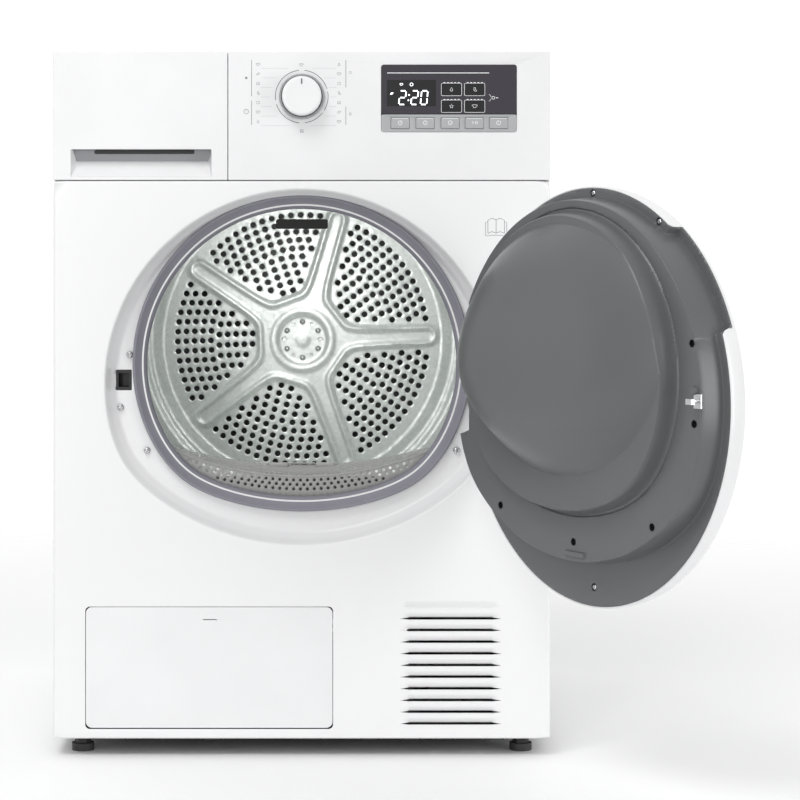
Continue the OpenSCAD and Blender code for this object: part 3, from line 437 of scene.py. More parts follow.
def rounded(x, z, radius, inset=0.0, steps=8):
    """A rectangle between two x and two z, drawn in by inset. Its corners are quarter circles."""
    angle = np.linspace(0, np.pi / 2, steps)
    r = max(radius - inset, 0.05)
    centres = [(x[1], z[1]), (x[0], z[1]), (x[0], z[0]), (x[1], z[0])]
    corners = []
    for quarter, (cx, cz) in enumerate(centres):
        side = (1 if quarter in (0, 3) else -1, 1 if quarter < 2 else -1)
        turn = angle + quarter * np.pi / 2
        middle = np.array([cx - side[0] * (r + inset), cz - side[1] * (r + inset)])
        corners.append(middle + r * np.column_stack([np.cos(turn), np.sin(turn)]))
    return np.concatenate(corners)


def flat_round(z, radius, flat_radius, drop, blend=12.0):
    """How far a place lies outside a circle whose bottom is flattened by a wider arc. The two are
    joined by the larger of both distances, with a rounded change from one to the other."""
    def outside(px, pz):
        to_round = np.hypot(px, pz - z) - radius
        to_flat = np.hypot(px, pz - z - flat_radius + drop) - flat_radius
        return (to_round + to_flat + np.hypot(to_round - to_flat, blend)) / 2
    outside.centre = z
    return outside


def contour(shape, level, count=240):
    """The line where shape has this level, found along rays from its centre by halving."""
    angle = np.linspace(0, 2 * np.pi, count, endpoint=False)
    low, high = np.zeros(count), np.full(count, 600.0)
    for _ in range(40):
        mid = (low + high) / 2
        out = shape(mid * np.cos(angle), shape.centre + mid * np.sin(angle)) > level
        low, high = np.where(out, low, mid), np.where(out, mid, high)
    return np.column_stack([mid * np.cos(angle), shape.centre + mid * np.sin(angle)])


# %% Joining rings, and making pieces
def loft(rings, first=True, last=True):
    """Joins each ring of points to the next with four-sided faces, and closes the two ends."""
    count, size = rings.shape[:2]
    grid = np.arange(count * size).reshape(count, size)
    grid = np.concatenate([grid, grid[:, :1]], axis=1)
    quads = np.stack([grid[:-1, :-1], grid[:-1, 1:], grid[1:, 1:], grid[1:, :-1]], axis=-1)
    faces = quads.reshape(-1, 4).tolist()
    if first:
        faces.append(grid[0, :-1][::-1].tolist())
    if last:
        faces.append(grid[-1, :-1].tolist())
    return rings.reshape(-1, 3), faces


def lay(points, y):
    """Flat points set at a depth y, which is one number or one for each point."""
    return np.column_stack([points[:, 0], np.broadcast_to(y, len(points)), points[:, 1]])


def turned(profile, x, z, count=96, first=True, last=True):
    """A profile of radius and depth, carried round an axis along y."""
    return loft(np.array([lay(circle(x, z, max(r, 0.02), count), y) for r, y in profile]), first, last)


def plate(outline, y, rim, steps=5):
    """A moulded plate. outline(inset) draws its edge; a quarter circle of radius rim joins the face
    at y[0] to the side, which runs back to y[1]."""
    turn = np.linspace(0, np.pi / 2, steps)
    rings = [lay(outline(0), y[1])]
    rings += [lay(outline(rim * (1 - np.cos(a))), y[0] + rim * (1 - np.sin(a))) for a in turn]
    return loft(np.array(rings))


def slab(x, y, z, radius, rim, steps=5):
    """A plate between two x, two y and two z, with round corners and a soft edge to its face."""
    return plate(lambda inset: rounded(x, z, radius, inset, steps), y, rim)


def together(*shells):
    """Several shells as one list of points and faces."""
    points, faces, start = [], [], 0
    for corners, sides in shells:
        points.append(corners)
        faces += [[corner + start for corner in side] for side in list(sides)]
        start += len(corners)
    return np.concatenate(points), faces


def piece(name, body, shell, finish, replaces=(), wall=0.0, closed=False, sharp=32,
          smooth=0):
    """Makes a mesh from points in millimetres and gives it to a body. wall adds a thickness behind its
    faces, and closed turns all faces outwards. The slot has the finish's name."""
    points, faces = shell
    mesh = bpy.data.meshes.new(name)
    mesh.from_pydata((points * MM).tolist(), [], [list(map(int, side)) for side in faces])
    shape = bmesh.new()
    shape.from_mesh(mesh)
    bmesh.ops.remove_doubles(shape, verts=shape.verts, dist=1e-6)
    if closed:
        bmesh.ops.recalc_face_normals(shape, faces=shape.faces)
    shape.to_mesh(mesh)
    shape.free()
    mesh.shade_smooth()
    mesh.set_sharp_from_angle(angle=np.radians(sharp))
    mesh.materials.append(finishes[finish])
    made = bpy.data.objects.new(name, mesh)
    scene.collection.objects.link(made)
    if wall:
        solid = made.modifiers.new("wall", "SOLIDIFY")
        solid.thickness = wall * MM
        solid.offset = -1
        solid.use_even_offset = True
    if smooth:
        soft = made.modifiers.new("smooth", "SUBSURF")
        soft.levels = soft.render_levels = smooth
    else:
        even = made.modifiers.new("even", "WEIGHTED_NORMAL")
        even.keep_sharp = True
    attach(made, body)
    if replaces:
        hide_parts(*replaces)
    print(name, len(mesh.polygons), "faces")
    return made


def room(node):
    """A solid's lowest and highest corner in millimetres."""
    return np.array(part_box(node)) / MM


# %% [markdown]
# ## Driving places
# The front sheet's face is the zero of the front; the round recess, the opening and the door share a
# few circles. Everything else on the front is set from these.

# %% Places on the front
panel_low, panel_high = room("front_panel")
front = panel_low[1]
half_w = panel_high[0]
foot_top, panel_top = panel_low[2], panel_high[2]
door_z, opening_z, drum_z = 443.0, 469.0, 482.0
recess_depth = 26.0
recess = flat_round(door_z, 238.0, 300.0, 191.0)
plateau = flat_round(door_z, 222.0, 284.0, 184.0)
opening = flat_round(opening_z, 188.0, 330.0, 162.0)
print("front at", round(front, 1), "mm, panel", round(foot_top, 1), "to", round(panel_top, 1))

# %% [markdown]
# ## Front panel
# One sheet of steel, 1.2 mm thick: its edges are folded back round a small radius, the round recess is
# deep-drawn, and the louvres are slit and dented inwards in one stroke, so their ends taper to nothing.
# Boxes and cylinders would give hard steps; pressing a flat blank with a function gives the real ones.


# %% Pressing the front panel
FOLD = 3.0
fold_arc = FOLD * np.pi / 2


def folded(t, limit):
    """Turns a place on the flat blank into a place on the folded sheet: along the face up to the fold,
    round a quarter circle, then straight back. Returns the new coordinate and the depth."""
    past = np.abs(t) - (limit - FOLD)
    turn = np.clip(past / FOLD, 0, np.pi / 2)
    flat = np.minimum(np.abs(t), limit - FOLD) + FOLD * np.sin(turn)
    return np.sign(t) * flat, FOLD * (1 - np.cos(turn)) + np.maximum(past - fold_arc, 0)


louvre_x = (118.0, 239.0)
louvre_z = foot_top + 18 + 14.0 * np.arange(11)
TAPER = 13.0


def dent(x, z):
    """Above each slit the sheet leans inwards, and just below it stands a little proud. Both fade out
    towards the ends of the slit."""
    ends = ease((x - louvre_x[0]) / TAPER) * ease((louvre_x[1] - x) / TAPER)
    deep = np.zeros_like(x)
    for level in louvre_z:
        above = z - level
        deep += np.where(above > 0, 3.4 * ease(1 - above / 8.5), -0.9 * ease(1 + above / 3.0))
    return deep * ends


def drawn(x, z):
    """The recess: its wall falls over 13 mm, with a tight lip and a wider foot."""
    inward = -recess(x, z)
    return recess_depth * (0.35 * ease(inward / 7.0) + 0.65 * ease(inward / 15.0))


middle_z = (foot_top + panel_top) / 2
half_h = (panel_top - foot_top) / 2
fold_back = room("side_left")[0][1] - 0.6 - front
reach_x = half_w - FOLD + fold_arc + fold_back - FOLD
reach_z = half_h - FOLD + fold_arc + fold_back - FOLD
edge_x, edge_z = half_w - FOLD / 2, half_h - FOLD / 2
cross = np.array([(edge_x, -edge_z), (reach_x, -edge_z), (reach_x, edge_z), (edge_x, edge_z),
                  (edge_x, reach_z), (-edge_x, reach_z), (-edge_x, edge_z), (-reach_x, edge_z),
                  (-reach_x, -edge_z), (-edge_x, -edge_z), (-edge_x, -reach_z), (edge_x, -reach_z)])
cross[:, 1] += middle_z
slits = []
for level in louvre_z[:-1]:
    half = np.array([(0.6, 0.05), (TAPER - 2, 1.35)])
    left = half + (louvre_x[0], 0)
    right = half[::-1] * (-1, 1) + (louvre_x[1], 0)
    upper = np.concatenate([left, right])
    slits.append(np.concatenate([upper, upper[::-1] * (1, -1)])[::-1] + (0, level))
flap_low, flap_high = room("service_flap")
flap_hole = rounded((flap_low[0] + 2.4, flap_high[0] - 2.4), (flap_low[2] - 1.2, flap_high[2] + 0.6), 5.5)
lock_hole = rounded((-224.5, -205.5), (437.5, 462.5), 1.2, steps=3)
bends = half_w - FOLD + np.linspace(0, fold_arc, 6)
tall = np.linspace(-edge_z, edge_z, 40) + middle_z
wide = np.linspace(-edge_x, edge_x, 40)
bends_z = half_h - FOLD + np.linspace(0, fold_arc, 6)
loose = [contour(recess, level, 300) for level in np.arange(1.5, -17, -1.25)]
loose += [lattice(np.concatenate([-bends, bends]), tall)]
loose += [lattice(wide, middle_z + np.concatenate([-bends_z, bends_z]))]
near_end = np.arange(0, 15, 1.6)
louvre_cols = np.unique(np.concatenate([np.linspace(*louvre_x, 22), louvre_x[0] + near_end,
                                        louvre_x[1] - near_end]))
offsets = np.array([-3.0, -2.2, -1.35, -0.5, 0.5, 1.35, 2.6, 4, 5.5, 7, 8.6])
loose += [lattice(louvre_cols, (louvre_z[:, None] + offsets).ravel())]
flat, faces = blank(cross, [contour(opening, 3.8), flap_hole, lock_hole, *slits], loose)
x, back_x = folded(flat[:, 0], half_w)
z, back_z = folded(flat[:, 1] - middle_z, half_h)
depth = back_x + back_z + drawn(*flat.T) + dent(*flat.T)
panel = np.column_stack([x, front + depth, z + middle_z])
piece("front_sheet", "cabinet", (panel, faces), "enamel_white", ["front_panel"], wall=1.2, sharp=38)

# %% [markdown]
# ## Door seal
# A moulded ring of soft rubber. It has a rounded lip that the shut door presses flat, and a sleeve that
# reaches back to the drum. Its cross-section is carried round the opening's outline.

# %% Carrying the seal's section round the opening
section = [(0.0, 44.0), (0.0, 38.0), (0.2, 32.6), (1.0, 30.2), (2.6, 28.6), (6.0, 26.0),
           (10.0, 22.0), (12.4, 18.8), (14.0, 16.8), (15.6, 17.0), (16.8, 18.8), (17.0, 23.0),
           (16.6, 25.2), (12.0, 25.8), (5.0, 30.0), (3.0, 34.0), (2.8, 44.0)]
rings = np.array([lay(contour(opening, level), front + y) for level, y in section])
rings = np.concatenate([rings, rings[:1]])
piece("seal_lip", "cabinet", loft(rings, False, False), "seal_grey", ["door_seal"], closed=True,
      sharp=180, smooth=1)

# %% [markdown]
# ## Drum back
# The back of the drum is a steel disc with hundreds of punched holes, stiffened by five arms that are
# pressed between the fields of holes. Real holes are needed, because the light that falls through them
# moves with the eye. They are arcs of small octagons, cut out of the blank before it is pressed.

# %% The star and the holes
ARMS, ARM_TURN, ARM_HALF, FIELD = 5, 2.0, 12.0, 186.0
plate_y = room("drum_back")[1][1] - 1.5
arm_angles = np.radians(ARM_TURN + np.arange(ARMS) * 72.0)


def star(x, z):
    """The distance outside the star: its hub, or the nearest of five round-ended arms, with the
    corners between them filled in."""
    arms = []
    for a in arm_angles:
        along = np.clip(x * np.cos(a) + z * np.sin(a), 0, FIELD - ARM_HALF)
        arms.append(np.hypot(x - along * np.cos(a), z - along * np.sin(a)) - ARM_HALF)
    nearest = np.min(arms, axis=0)
    hub = np.hypot(x, z) - 58.0
    return (nearest + hub - np.hypot(nearest - hub, 14.0)) / 2


def pressed_back(x, z):
    """The star stands forward with a ridge along its edge and a shallow trough inside it. A dish round
    the hub and two steps near the rim finish the plate."""
    far = np.hypot(x, z)
    edge = star(x, z)
    out = 3.6 * ease((3.4 - edge) / 4.2) - 2.6 * ease((-2.6 - edge) / 4.0)
    out += 1.6 * ease((47.0 - far) / 5.0) - 3.4 * ease((38.0 - far) / 7.0)
    out += 1.2 * ease((12.0 - far) / 6.0)
    wall = 14.0 * ease((far - 193.0) / 16.0) + 5.0 * ease((far - 214.0) / 6.0)
    return out + wall


centres = []
for row, r in enumerate(np.arange(70.0, FIELD - 3, 11.5)):
    for a in arm_angles:
        count = int(np.radians(72) * r / 13.3)
        angle = a + (np.arange(count) + 0.25 + 0.5 * (row % 2)) * np.radians(72) / count
        centres.append(np.column_stack([r * np.cos(angle), r * np.sin(angle)]))
centres = np.concatenate(centres)
centres = centres[star(*centres.T) > 7.4]
holes = [circle(cx, cz, 4.05, 12) for cx, cz in centres]
holes += [circle(25 * np.cos(a), 25 * np.sin(a), r, 10) for a, r in
          zip(np.radians(np.arange(0, 360, 60)), (3.0, 1.5, 1.5, 3.0, 1.5, 1.5))]
rim_r = 240.0
rows = np.arange(-80, 81)
grid = staggered(rows * 3.0, rows, 3.0) * (1.0, 3.0)
gaps = np.min([np.hypot(*(grid - centre).T) for centre in centres], axis=0)
grid = grid[(gaps > 5.2) & (np.hypot(*grid.T) < 188)]
loose = [grid] + [circle(0, 0, r, 180) for r in np.arange(190, rim_r - 1, 3.0)]
flat, faces = blank(circle(0, 0, rim_r, 180), holes, loose)
back = lay(flat + (0, drum_z), plate_y - pressed_back(*flat.T))
piece("back_disc", "drum", (back, faces), "steel_plate", ["drum_back"], wall=1.2, sharp=50)

# %% Rivets at the hub
dome = [(0.0, 3.4), (1.6, 3.1), (2.9, 2.3), (3.8, 1.1), (4.2, 0.0), (4.2, -1.0)]
hub_face = plate_y - pressed_back(np.array([25.0]), np.array([0.0]))[0]
rivets = [turned([(r, hub_face - h) for r, h in dome], 25 * np.cos(a), drum_z + 25 * np.sin(a), 20)
          for a in np.radians(np.arange(30, 390, 60))]
piece("rivet_heads", "drum", together(*rivets), "steel_bright", ["hub_rivets"], closed=True)

# %% [markdown]
# ## Door liner
# The inner skin of the door is one grey moulding. From its rim inwards it has a flange, a step up to a
# ring, a low lip that fits the opening, and a deep bulge that keeps the laundry in the drum. A pocket in
# the flange lets fingers in behind the ring. It is drawn as the shut door, then swung open as a whole.

# %% Swinging the door open
hinge_x, hinge_y = 214.0, front - 16.0
OPEN = np.radians(122.0)


def swung(points):
    """Turns places of the shut door about the hinge pin to where the door stands."""
    x, y, z = points.T
    x, y = x - hinge_x, y - hinge_y
    return np.column_stack([hinge_x + x * np.cos(OPEN) - y * np.sin(OPEN),
                            hinge_y + x * np.sin(OPEN) + y * np.cos(OPEN), z])


# %% Pressing the liner
FLANGE, RING, SHELF, GRIP = -11.0, 27.5, 19.0, 12.0
GRIP_ENDS = (125.5, 160.5)
BULGE_Z, BULGE_R, BULGE_RISE = 497.0, 139.0, 47.0
TAB_X, TAB_Z, BUMP_X, BUMP_Z, NOTCH_Z, HOOK_Z = -8.5, 269.7, -210.0, 461.0, 468.0, 458.0
FLANGE_R = 233.4
lip = flat_round(opening_z, 183.0, 325.0, 160.0, 24.0)


def bulge(x, z):
    """How far a place lies outside the foot of the bulge, an egg that lies on its side."""
    return np.hypot(x / np.where(x < 0, 1.27, 1.19), z - BULGE_Z) - BULGE_R


bulge.centre = BULGE_Z


def grip_turn(angle):
    """1 at the angles of the grip pocket, 0 at all others, with a short slope at both ends."""
    return ease((angle - GRIP_ENDS[0]) / 1.5) * ease((GRIP_ENDS[1] - angle) / 1.5)


def liner_depth(x, z):
    """Depth behind the front face: flange + ring step + shelf step + bulge - pocket + bump + tab. Each
    step eases over its own width. The bulge rises as H (1 - (1 - t)^2.5), where t grows from its foot
    inwards and H is larger towards the hinge and at the height of the hook."""
    notch = ease((x - 194.0) / 3.0) * ease((76.0 - np.abs(z - NOTCH_Z)) / 4.0)
    out = FLANGE + RING * ease((2.0 - plateau(x, z)) / 4.0) * (1 - notch)
    foot = lip(x, z)
    out += SHELF * ease((0.5 - foot) / 6.5) - 1.5 * np.exp(-((foot - 1.9) / 0.8) ** 2)
    inward = np.clip(-bulge(x, z) / 72.0, 0, 1)
    high = 0.62 + 0.38 * np.exp(-((z - HOOK_Z) / 90.0) ** 2)
    out += (BULGE_RISE + 0.11 * x) * high * (1 - (1 - inward) ** 2.5)
    angle = np.degrees(np.arctan2(z - door_z, x))
    out -= GRIP * grip_turn(angle) * ease((plateau(x, z) - 1.0) / 3.0)
    out += 4.0 * ease((5.2 - np.hypot(x - BUMP_X, z - BUMP_Z)) / 1.2)
    out += 2.6 * ease(17.5 - np.abs(x - TAB_X)) * ease(3.4 - np.abs(z - TAB_Z))
    return out


rim_spots = [(-5, 671), (-118.7, 638.2), (-7, 231)]
ring_spots = [(-204.5, 510), (-208, 426), (-140, 312), (-5, 283), (131, 312)]
wells = [circle(sx, sz, 4.0, 20) for sx, sz in ring_spots + rim_spots]
grid = lattice(np.arange(-232, 233, 4.5), np.arange(211, 676, 4.5))
gx, gz = grid.T
clear = (np.abs(plateau(gx, gz)) > 5) & (np.abs(lip(gx, gz) + 3) > 6.5) & (np.abs(bulge(gx, gz) + 5) > 8)
clear &= (np.abs(gx - TAB_X) > 20) | (np.abs(gz - TAB_Z) > 6)
clear &= (np.abs(gx - 195.5) > 5) | (np.abs(gz - NOTCH_Z) > 80)
loose = [grid[clear]]
loose += [lattice(np.arange(192.5, 199, 1.1), np.arange(390, 547, 3.0))]
loose += [contour(plateau, level, 280) for level in np.arange(-3.2, 4.4, 0.8)]
loose += [contour(lip, level, 260) for level in (-7, -6, -5, -4, -3, -2, -1, 0, 0.6, 1.2, 1.9, 2.6, 3.2)]
loose += [contour(bulge, level, 240) for level in (1.0, 0.0, -1.0, -2.0, -3.5, -5.0, -7.0, -9.0, -11.5)]
corner = np.radians(np.concatenate([np.linspace(125.2, 127.4, 7), np.linspace(158.6, 160.8, 7)]))
for r in np.arange(220, 233, 1.5):
    loose.append(np.column_stack([r * np.cos(corner), door_z + r * np.sin(corner)]))
loose += [circle(BUMP_X, BUMP_Z, r, 16) for r in (2.0, 3.9, 4.4, 4.9, 5.4)]
tab_x, tab_z = np.array([16.4, 17.0, 17.6]), np.array([2.3, 2.9, 3.5])
loose += [lattice(TAB_X + np.concatenate([-tab_x, np.arange(-12, 13, 6.0), tab_x]),
                  TAB_Z + np.concatenate([-tab_z, [0], tab_z]))]
angle = np.linspace(0, 360, 360, endpoint=False)
edge, turn = FLANGE_R + 2.9 * grip_turn(angle), np.radians(angle)
rim_line = np.column_stack([edge * np.cos(turn), door_z + edge * np.sin(turn)])
flat, faces = blank(rim_line, wells, loose)
liner = swung(lay(flat, front + liner_depth(*flat.T)))
piece("liner_skin", "door", (liner, faces[:, ::-1]), "plastic_grey", ["door_liner"], wall=1.6,
      sharp=42)

# %% [markdown]
# ## Screws
# A pan head with a cross recess is a ring of points whose height falls away to the edge, with two
# crossing slots pressed into it. The liner's screws sit at the bottom of moulded wells.


# %% Screw heads
def screw_head(place, across, up, out, radius=4.0, height=2.2):
    """A domed head at a place. across and up span its face and out points away from it. Its height is
    a flattened dome less the cross, which is deepest in the middle."""
    place, across, up, out = (np.array(v, dtype=float) for v in (place, across, up, out))
    angle = np.linspace(0, 2 * np.pi, 32, endpoint=False)
    rings = []
    for share in (0.02, 0.12, 0.24, 0.36, 0.46, 0.56, 0.68, 0.82, 0.93, 1.0):
        u, v = radius * share * np.cos(angle), radius * share * np.sin(angle)
        cross = ease((0.17 * radius - np.minimum(np.abs(u), np.abs(v))) / (0.08 * radius))
        cross *= ease((0.60 - share) / 0.1)
        tall = height * (1 - 0.75 * share ** 3) - 1.1 * cross
        rings.append(place + u[:, None] * across + v[:, None] * up + tall[:, None] * out)
    edge = np.cos(angle)[:, None] * across + np.sin(angle)[:, None] * up
    rings.append(place + radius * edge - 0.8 * out)
    return loft(np.array(rings))


ahead = ((1, 0, 0), (0, 0, 1), (0, -1, 0))
floor_face = front + recess_depth - 1.2
heads = [screw_head((sx, floor_face - 1.2, sz), *ahead) for sx, sz in
         [(-208, 481), (-219, 417), (-187, 365), (187, 365)]]
heads += [screw_head((211, floor_face - 3, sz), *ahead, radius=4.6, height=2.6) for sz in (350, 536)]
piece("panel_screws", "cabinet", together(*heads), "steel_bright", ["cabinet_screws"], closed=True)

origin, unit_x, unit_y = swung(np.eye(3, k=-1))
door_across, door_out = unit_x - origin, unit_y - origin
heads, cups = [], []
for spots, sink in ((rim_spots, 1.0), (ring_spots, 6.5)):
    for sx, sz in spots:
        level = front + liner_depth(np.array([sx]), np.array([sz]))[0]
        bottom = swung(np.array([(sx, level - sink, sz)]))[0]
        heads.append(screw_head(bottom, door_across, (0, 0, 1), door_out, radius=3.0, height=1.6))
        cup = ((4.6, -0.2), (4.0, 0.25), (3.7, -0.4), (3.6, -sink), (0.05, -sink))
        cup = [swung(lay(circle(sx, sz, r, 20), level + y)) for r, y in cup]
        cups.append(loft(np.array(cup), False, True))
piece("liner_screws", "door", together(*heads), "steel_bright", ["door_screws"], closed=True)
# The wells are part of the grey liner; their near-black colour is painted shade in the deep holes.
piece("screw_wells", "door", together(*cups), "plastic_dark", sharp=40)

# %% [markdown]
# ## Outer door
# The white shell is turned like a shallow dish with a rolled rim: a profile of radius and depth carried
# round. A shallow step marks off its middle. Its rim is cut away where the grip pocket is.

# %% Turning the shell
FREE_SWELL = 5.0
bow = np.linspace(0, np.pi / 2, 10)
profile = [(r, -39.4 + 0.8 * (r / 140) ** 2) for r in (0.0, 40.0, 90.0, 140.0)]
profile += [(146.0, -38.2), (148.0, -37.0), (151.0, -36.8), (190.0, -36.3)]
profile += [(200 + 35.2 * np.sin(t), -22.0 - 14.0 * np.cos(t)) for t in bow]
profile += [(235.7, -16.0), (235.6, -12.4), (235.1, -11.2), (234.3, -10.8), (233.5, -11.3),
            (233.2, -14.0)]
shell, faces = turned([(r, front + y) for r, y in profile], 0, door_z, 360, True, False)
thick = np.clip((front - 16.0 - shell[:, 1]) / 12.0, 0, 1)
shell[:, 1] -= FREE_SWELL * ease((60.0 - shell[:, 0]) / 220.0) * thick
angle = np.degrees(np.arctan2(shell[:, 2] - door_z, shell[:, 0]))
proud = np.maximum(shell[:, 1] - (front + FLANGE - GRIP - 1.0), 0)
shell[:, 1] -= proud * grip_turn(angle)
piece("door_shell", "door", (swung(shell), faces), "plastic_white", ["door_cover"], closed=True,
      sharp=50)

# %% [markdown]
# ## Rear panel
# The back is a plain sheet of galvanised steel, screwed on along its edges. Two round beads and a few
# straight ones are pressed outwards, so that the sheet doesn't drum. The slots let air to the motor.

# %% Pressing the rear panel
rear_low, rear_high = room("rear_panel")
rear_x, rear_y = rear_high[0] - 0.6, rear_high[1]
rear_z = (rear_low[2] + 0.6, rear_high[2] - 0.6)
gland_x, _, gland_z = room("cable_gland").mean(axis=0)
BEAD, BEAD_RINGS = 2.0, (178.0, 236.0)
bars = [(-150.0, 262.0, 742.0), (-262.0, -10.0, 190.0), (-262.0, -10.0, 140.0), (-262.0, -10.0, 90.0)]


def beads(x, z):
    """Height of the pressed beads: round ones about the drum's axis and straight ones with round ends,
    each a hump of the distance to its middle line."""
    ring = np.hypot(x, z - drum_z)
    away = np.min([np.abs(ring - r) for r in BEAD_RINGS], axis=0)
    for low, high, level in bars:
        away = np.minimum(away, np.hypot(x - np.clip(x, low, high), z - level))
    return BEAD * ease((8.0 - away) / 6.0)


edge = np.array([(-rear_x, rear_z[0]), (rear_x, rear_z[0]), (rear_x, rear_z[1]), (-rear_x, rear_z[1])])
air_slots = [rounded((15.0, 165.0), (level - 2.5, level + 2.5), 2.4, 0, 4)
             for level in 60.0 + 12.0 * np.arange(8)]
across = 1.5 * np.arange(-6, 7)
loose = [circle(0, drum_z, r + step, 200) for r in BEAD_RINGS for step in across]
for low, high, level in bars:
    loose.append(lattice(np.arange(low, high + 1, 12.0), level + across))
    for step in across[7:]:
        turn = np.linspace(-np.pi / 2, np.pi / 2, 9)
        for end, way in ((high, 1), (low, -1)):
            loose.append(np.column_stack([end + way * step * np.cos(turn), level + step * np.sin(turn)]))
flat, faces = blank(edge, [*air_slots, circle(gland_x, gland_z, 8.3, 24)], loose)
rear = lay(flat, rear_y + beads(*flat.T))
piece("rear_sheet", "cabinet", (rear, faces[:, ::-1]), "steel_zinc", ["rear_panel"], wall=1.2)

# %% Screws along the rear panel
behind = ((-1, 0, 0), (0, 0, 1), (0, 1, 0))
spots = [(x, z) for x in (-288.0, 288.0) for z in (32.0, 300.0, 560.0, 812.0)]
spots += [(x, z) for x in (-96.0, 96.0) for z in (32.0, 812.0)]
heads = [screw_head((x, rear_y, z), *behind) for x, z in spots]
piece("rear_screws", "cabinet", together(*heads), "steel_bright", closed=True)

# %% [markdown]
# ## Air grille and lint filter
# Below the opening a grey moulding leads the air down to the lint filter. Its front face follows the
# opening's flat bottom, and its hollow top slopes up towards the drum. The filter's handle has two grips
# on either side of a slot. All faces are pierced, so the sheets are cut as blanks again and then bent.

# %% Bending the grille
grille_y, grille_back = front + 45.0, front + 93.0
RISE = 10.0


def crest(x, back):
    """Height of the top's front edge, or of its back edge for back = 1: two hollow arcs."""
    return 332.0 + RISE * back + x * x * ((1 - back) / 770 + back / 1120)


pins = staggered(np.arange(-136, 137, 8.4), np.arange(0, 5), 8.4)
pins = np.column_stack([pins[:, 0], crest(pins[:, 0], 0) - 5.0 - 5.4 * pins[:, 1]])
pins = pins[(opening(*pins.T) < -2.5)]
bottom_edge = contour(opening, 2.8, 720)
bottom_edge = bottom_edge[bottom_edge[:, 1] < crest(bottom_edge[:, 0], 0) - 0.5]
bottom_edge = bottom_edge[np.argsort(bottom_edge[:, 0])]
reach = bottom_edge[:, 0].max()
top_x = np.linspace(reach, -reach, 77)
top_line = np.column_stack([top_x, crest(top_x, 0)])
face, sides = blank(np.concatenate([bottom_edge, top_line]), [circle(px, pz, 1.9, 10) for px, pz in pins])
face_shell = (lay(face, grille_y), sides)

slots = staggered(np.arange(-142, 143, 6.2), np.arange(0, 6), 6.2)
slots = np.column_stack([slots[:, 0], 0.14 + 0.145 * slots[:, 1]])
HANDLE_X, FILTER_HALF = 44.0, 125.0


def on_top(points):
    """Places a point of the flat top sheet, x along and 0 to 1 across, onto the hollow slope."""
    x, across = points.T
    return np.column_stack([x, grille_y + (grille_back - grille_y) * across, crest(x, across)])


def top_sheet(low, high, edges, keep):
    """The top between two shares of its depth, with a hole wherever keep is true. It is cut flat with
    the share stretched to its 48 mm, and bent afterwards."""
    span = np.linspace(*edges, 60)
    rim = np.concatenate([np.column_stack([span, np.full(60, low)]),
                          np.column_stack([span[::-1], np.full(60, high)])])
    holes = [circle(0, 0, 1.0, 10) * (1.75, 1.75 / 48) + spot for spot in slots[keep]]
    flat, sides = blank(rim * (1, 48), [h * (1, 48) for h in holes])
    return on_top(flat / (1, 48)), sides


slot_x, share = slots.T
within = np.abs(slot_x) < reach - 4
rear_rows = (share > 0.33) & (share < 0.95)
front_strip = top_sheet(0.0, 0.30, (-reach, reach), within & (share < 0.27))
left_end = top_sheet(0.30, 1.0, (-reach, -FILTER_HALF - 0.5),
                     within & rear_rows & (slot_x < -FILTER_HALF - 3))
right_end = top_sheet(0.30, 1.0, (FILTER_HALF + 0.5, reach),
                      within & rear_rows & (slot_x > FILTER_HALF + 3))
piece("grille_sheets", "cabinet", together(face_shell, front_strip, left_end, right_end), "filter_grey",
      ["air_grille"], wall=1.6, sharp=30)
rail = [(-0.4, -1.6), (-0.9, -0.4), (-0.4, 0.7), (1.2, 1.0), (2.4, 0.3), (2.4, -1.6)]
rail_rings = np.array([[(x, grille_y + y, crest(x, 0) + h) for y, h in rail]
                       for x in np.linspace(-reach, reach, 90)])
piece("grille_edge", "cabinet", loft(rail_rings), "filter_grey", closed=True,
      sharp=60)

# %% The filter
lid_slots = rear_rows & (np.abs(slot_x) < FILTER_HALF) & (np.abs(slot_x) > HANDLE_X + 3)
piece("filter_lid", "filter", top_sheet(0.30, 1.0, (-FILTER_HALF, FILTER_HALF), lid_slots), "filter_grey",
      ["lint_filter"], wall=1.6, sharp=30)


def bar_between(x, y, z, rim=1.2):
    """A bar with rounded edges between two corners, as a plate that faces the user."""
    return slab(x, y, z, rim * 1.2, rim)


top_z = crest(0, 1.0)
bars = [((-HANDLE_X, HANDLE_X), (8, 1), (-13.5, -9.5), 1.2),
        ((-HANDLE_X, -HANDLE_X + 3.4), (9, 1), (-13, 2.4), 1.2),
        ((HANDLE_X - 3.4, HANDLE_X), (9, 1), (-13, 2.4), 1.2),
        ((-15.5, 15.5), (8, 3), (-9.4, -2.2), 1.2), ((-16.5, 16.5), (5, 1), (0.8, 2.6), 0.8),
        ((-HANDLE_X + 3, -16.5), (12, 2), (-3.2, 2.8), 2.2),
        ((16.5, HANDLE_X - 3), (12, 2), (-3.2, 2.8), 2.2)]
handle = [bar_between(x, grille_back - np.array(y), top_z + np.array(z), rim) for x, y, z, rim in bars]
nub = [(r, grille_back - ahead_by) for r, ahead_by in ((0, 13), (1.6, 12.4), (2.3, 11), (2.3, 6))]
nubs = [turned(nub, side * (22 + 7.5 * k), top_z - 6.6, 14) for side in (-1, 1) for k in range(3)]
piece("filter_handle", "filter", together(*handle, *nubs), "filter_grey",
      closed=True, sharp=45)
low_z, high_z = room("lint_filter")[0][2], top_z - 14.0
mid_y = room("lint_filter")[:, 1].mean()
frame_y = (mid_y - 11.5, mid_y + 11.5)
frame_bars = [bar_between((x, x + 5), frame_y, (low_z, high_z - 1)) for x in (-122, 117)]
frame_bars += [bar_between((-122, 122), frame_y, (level, level + 5)) for level in (low_z, high_z - 5)]
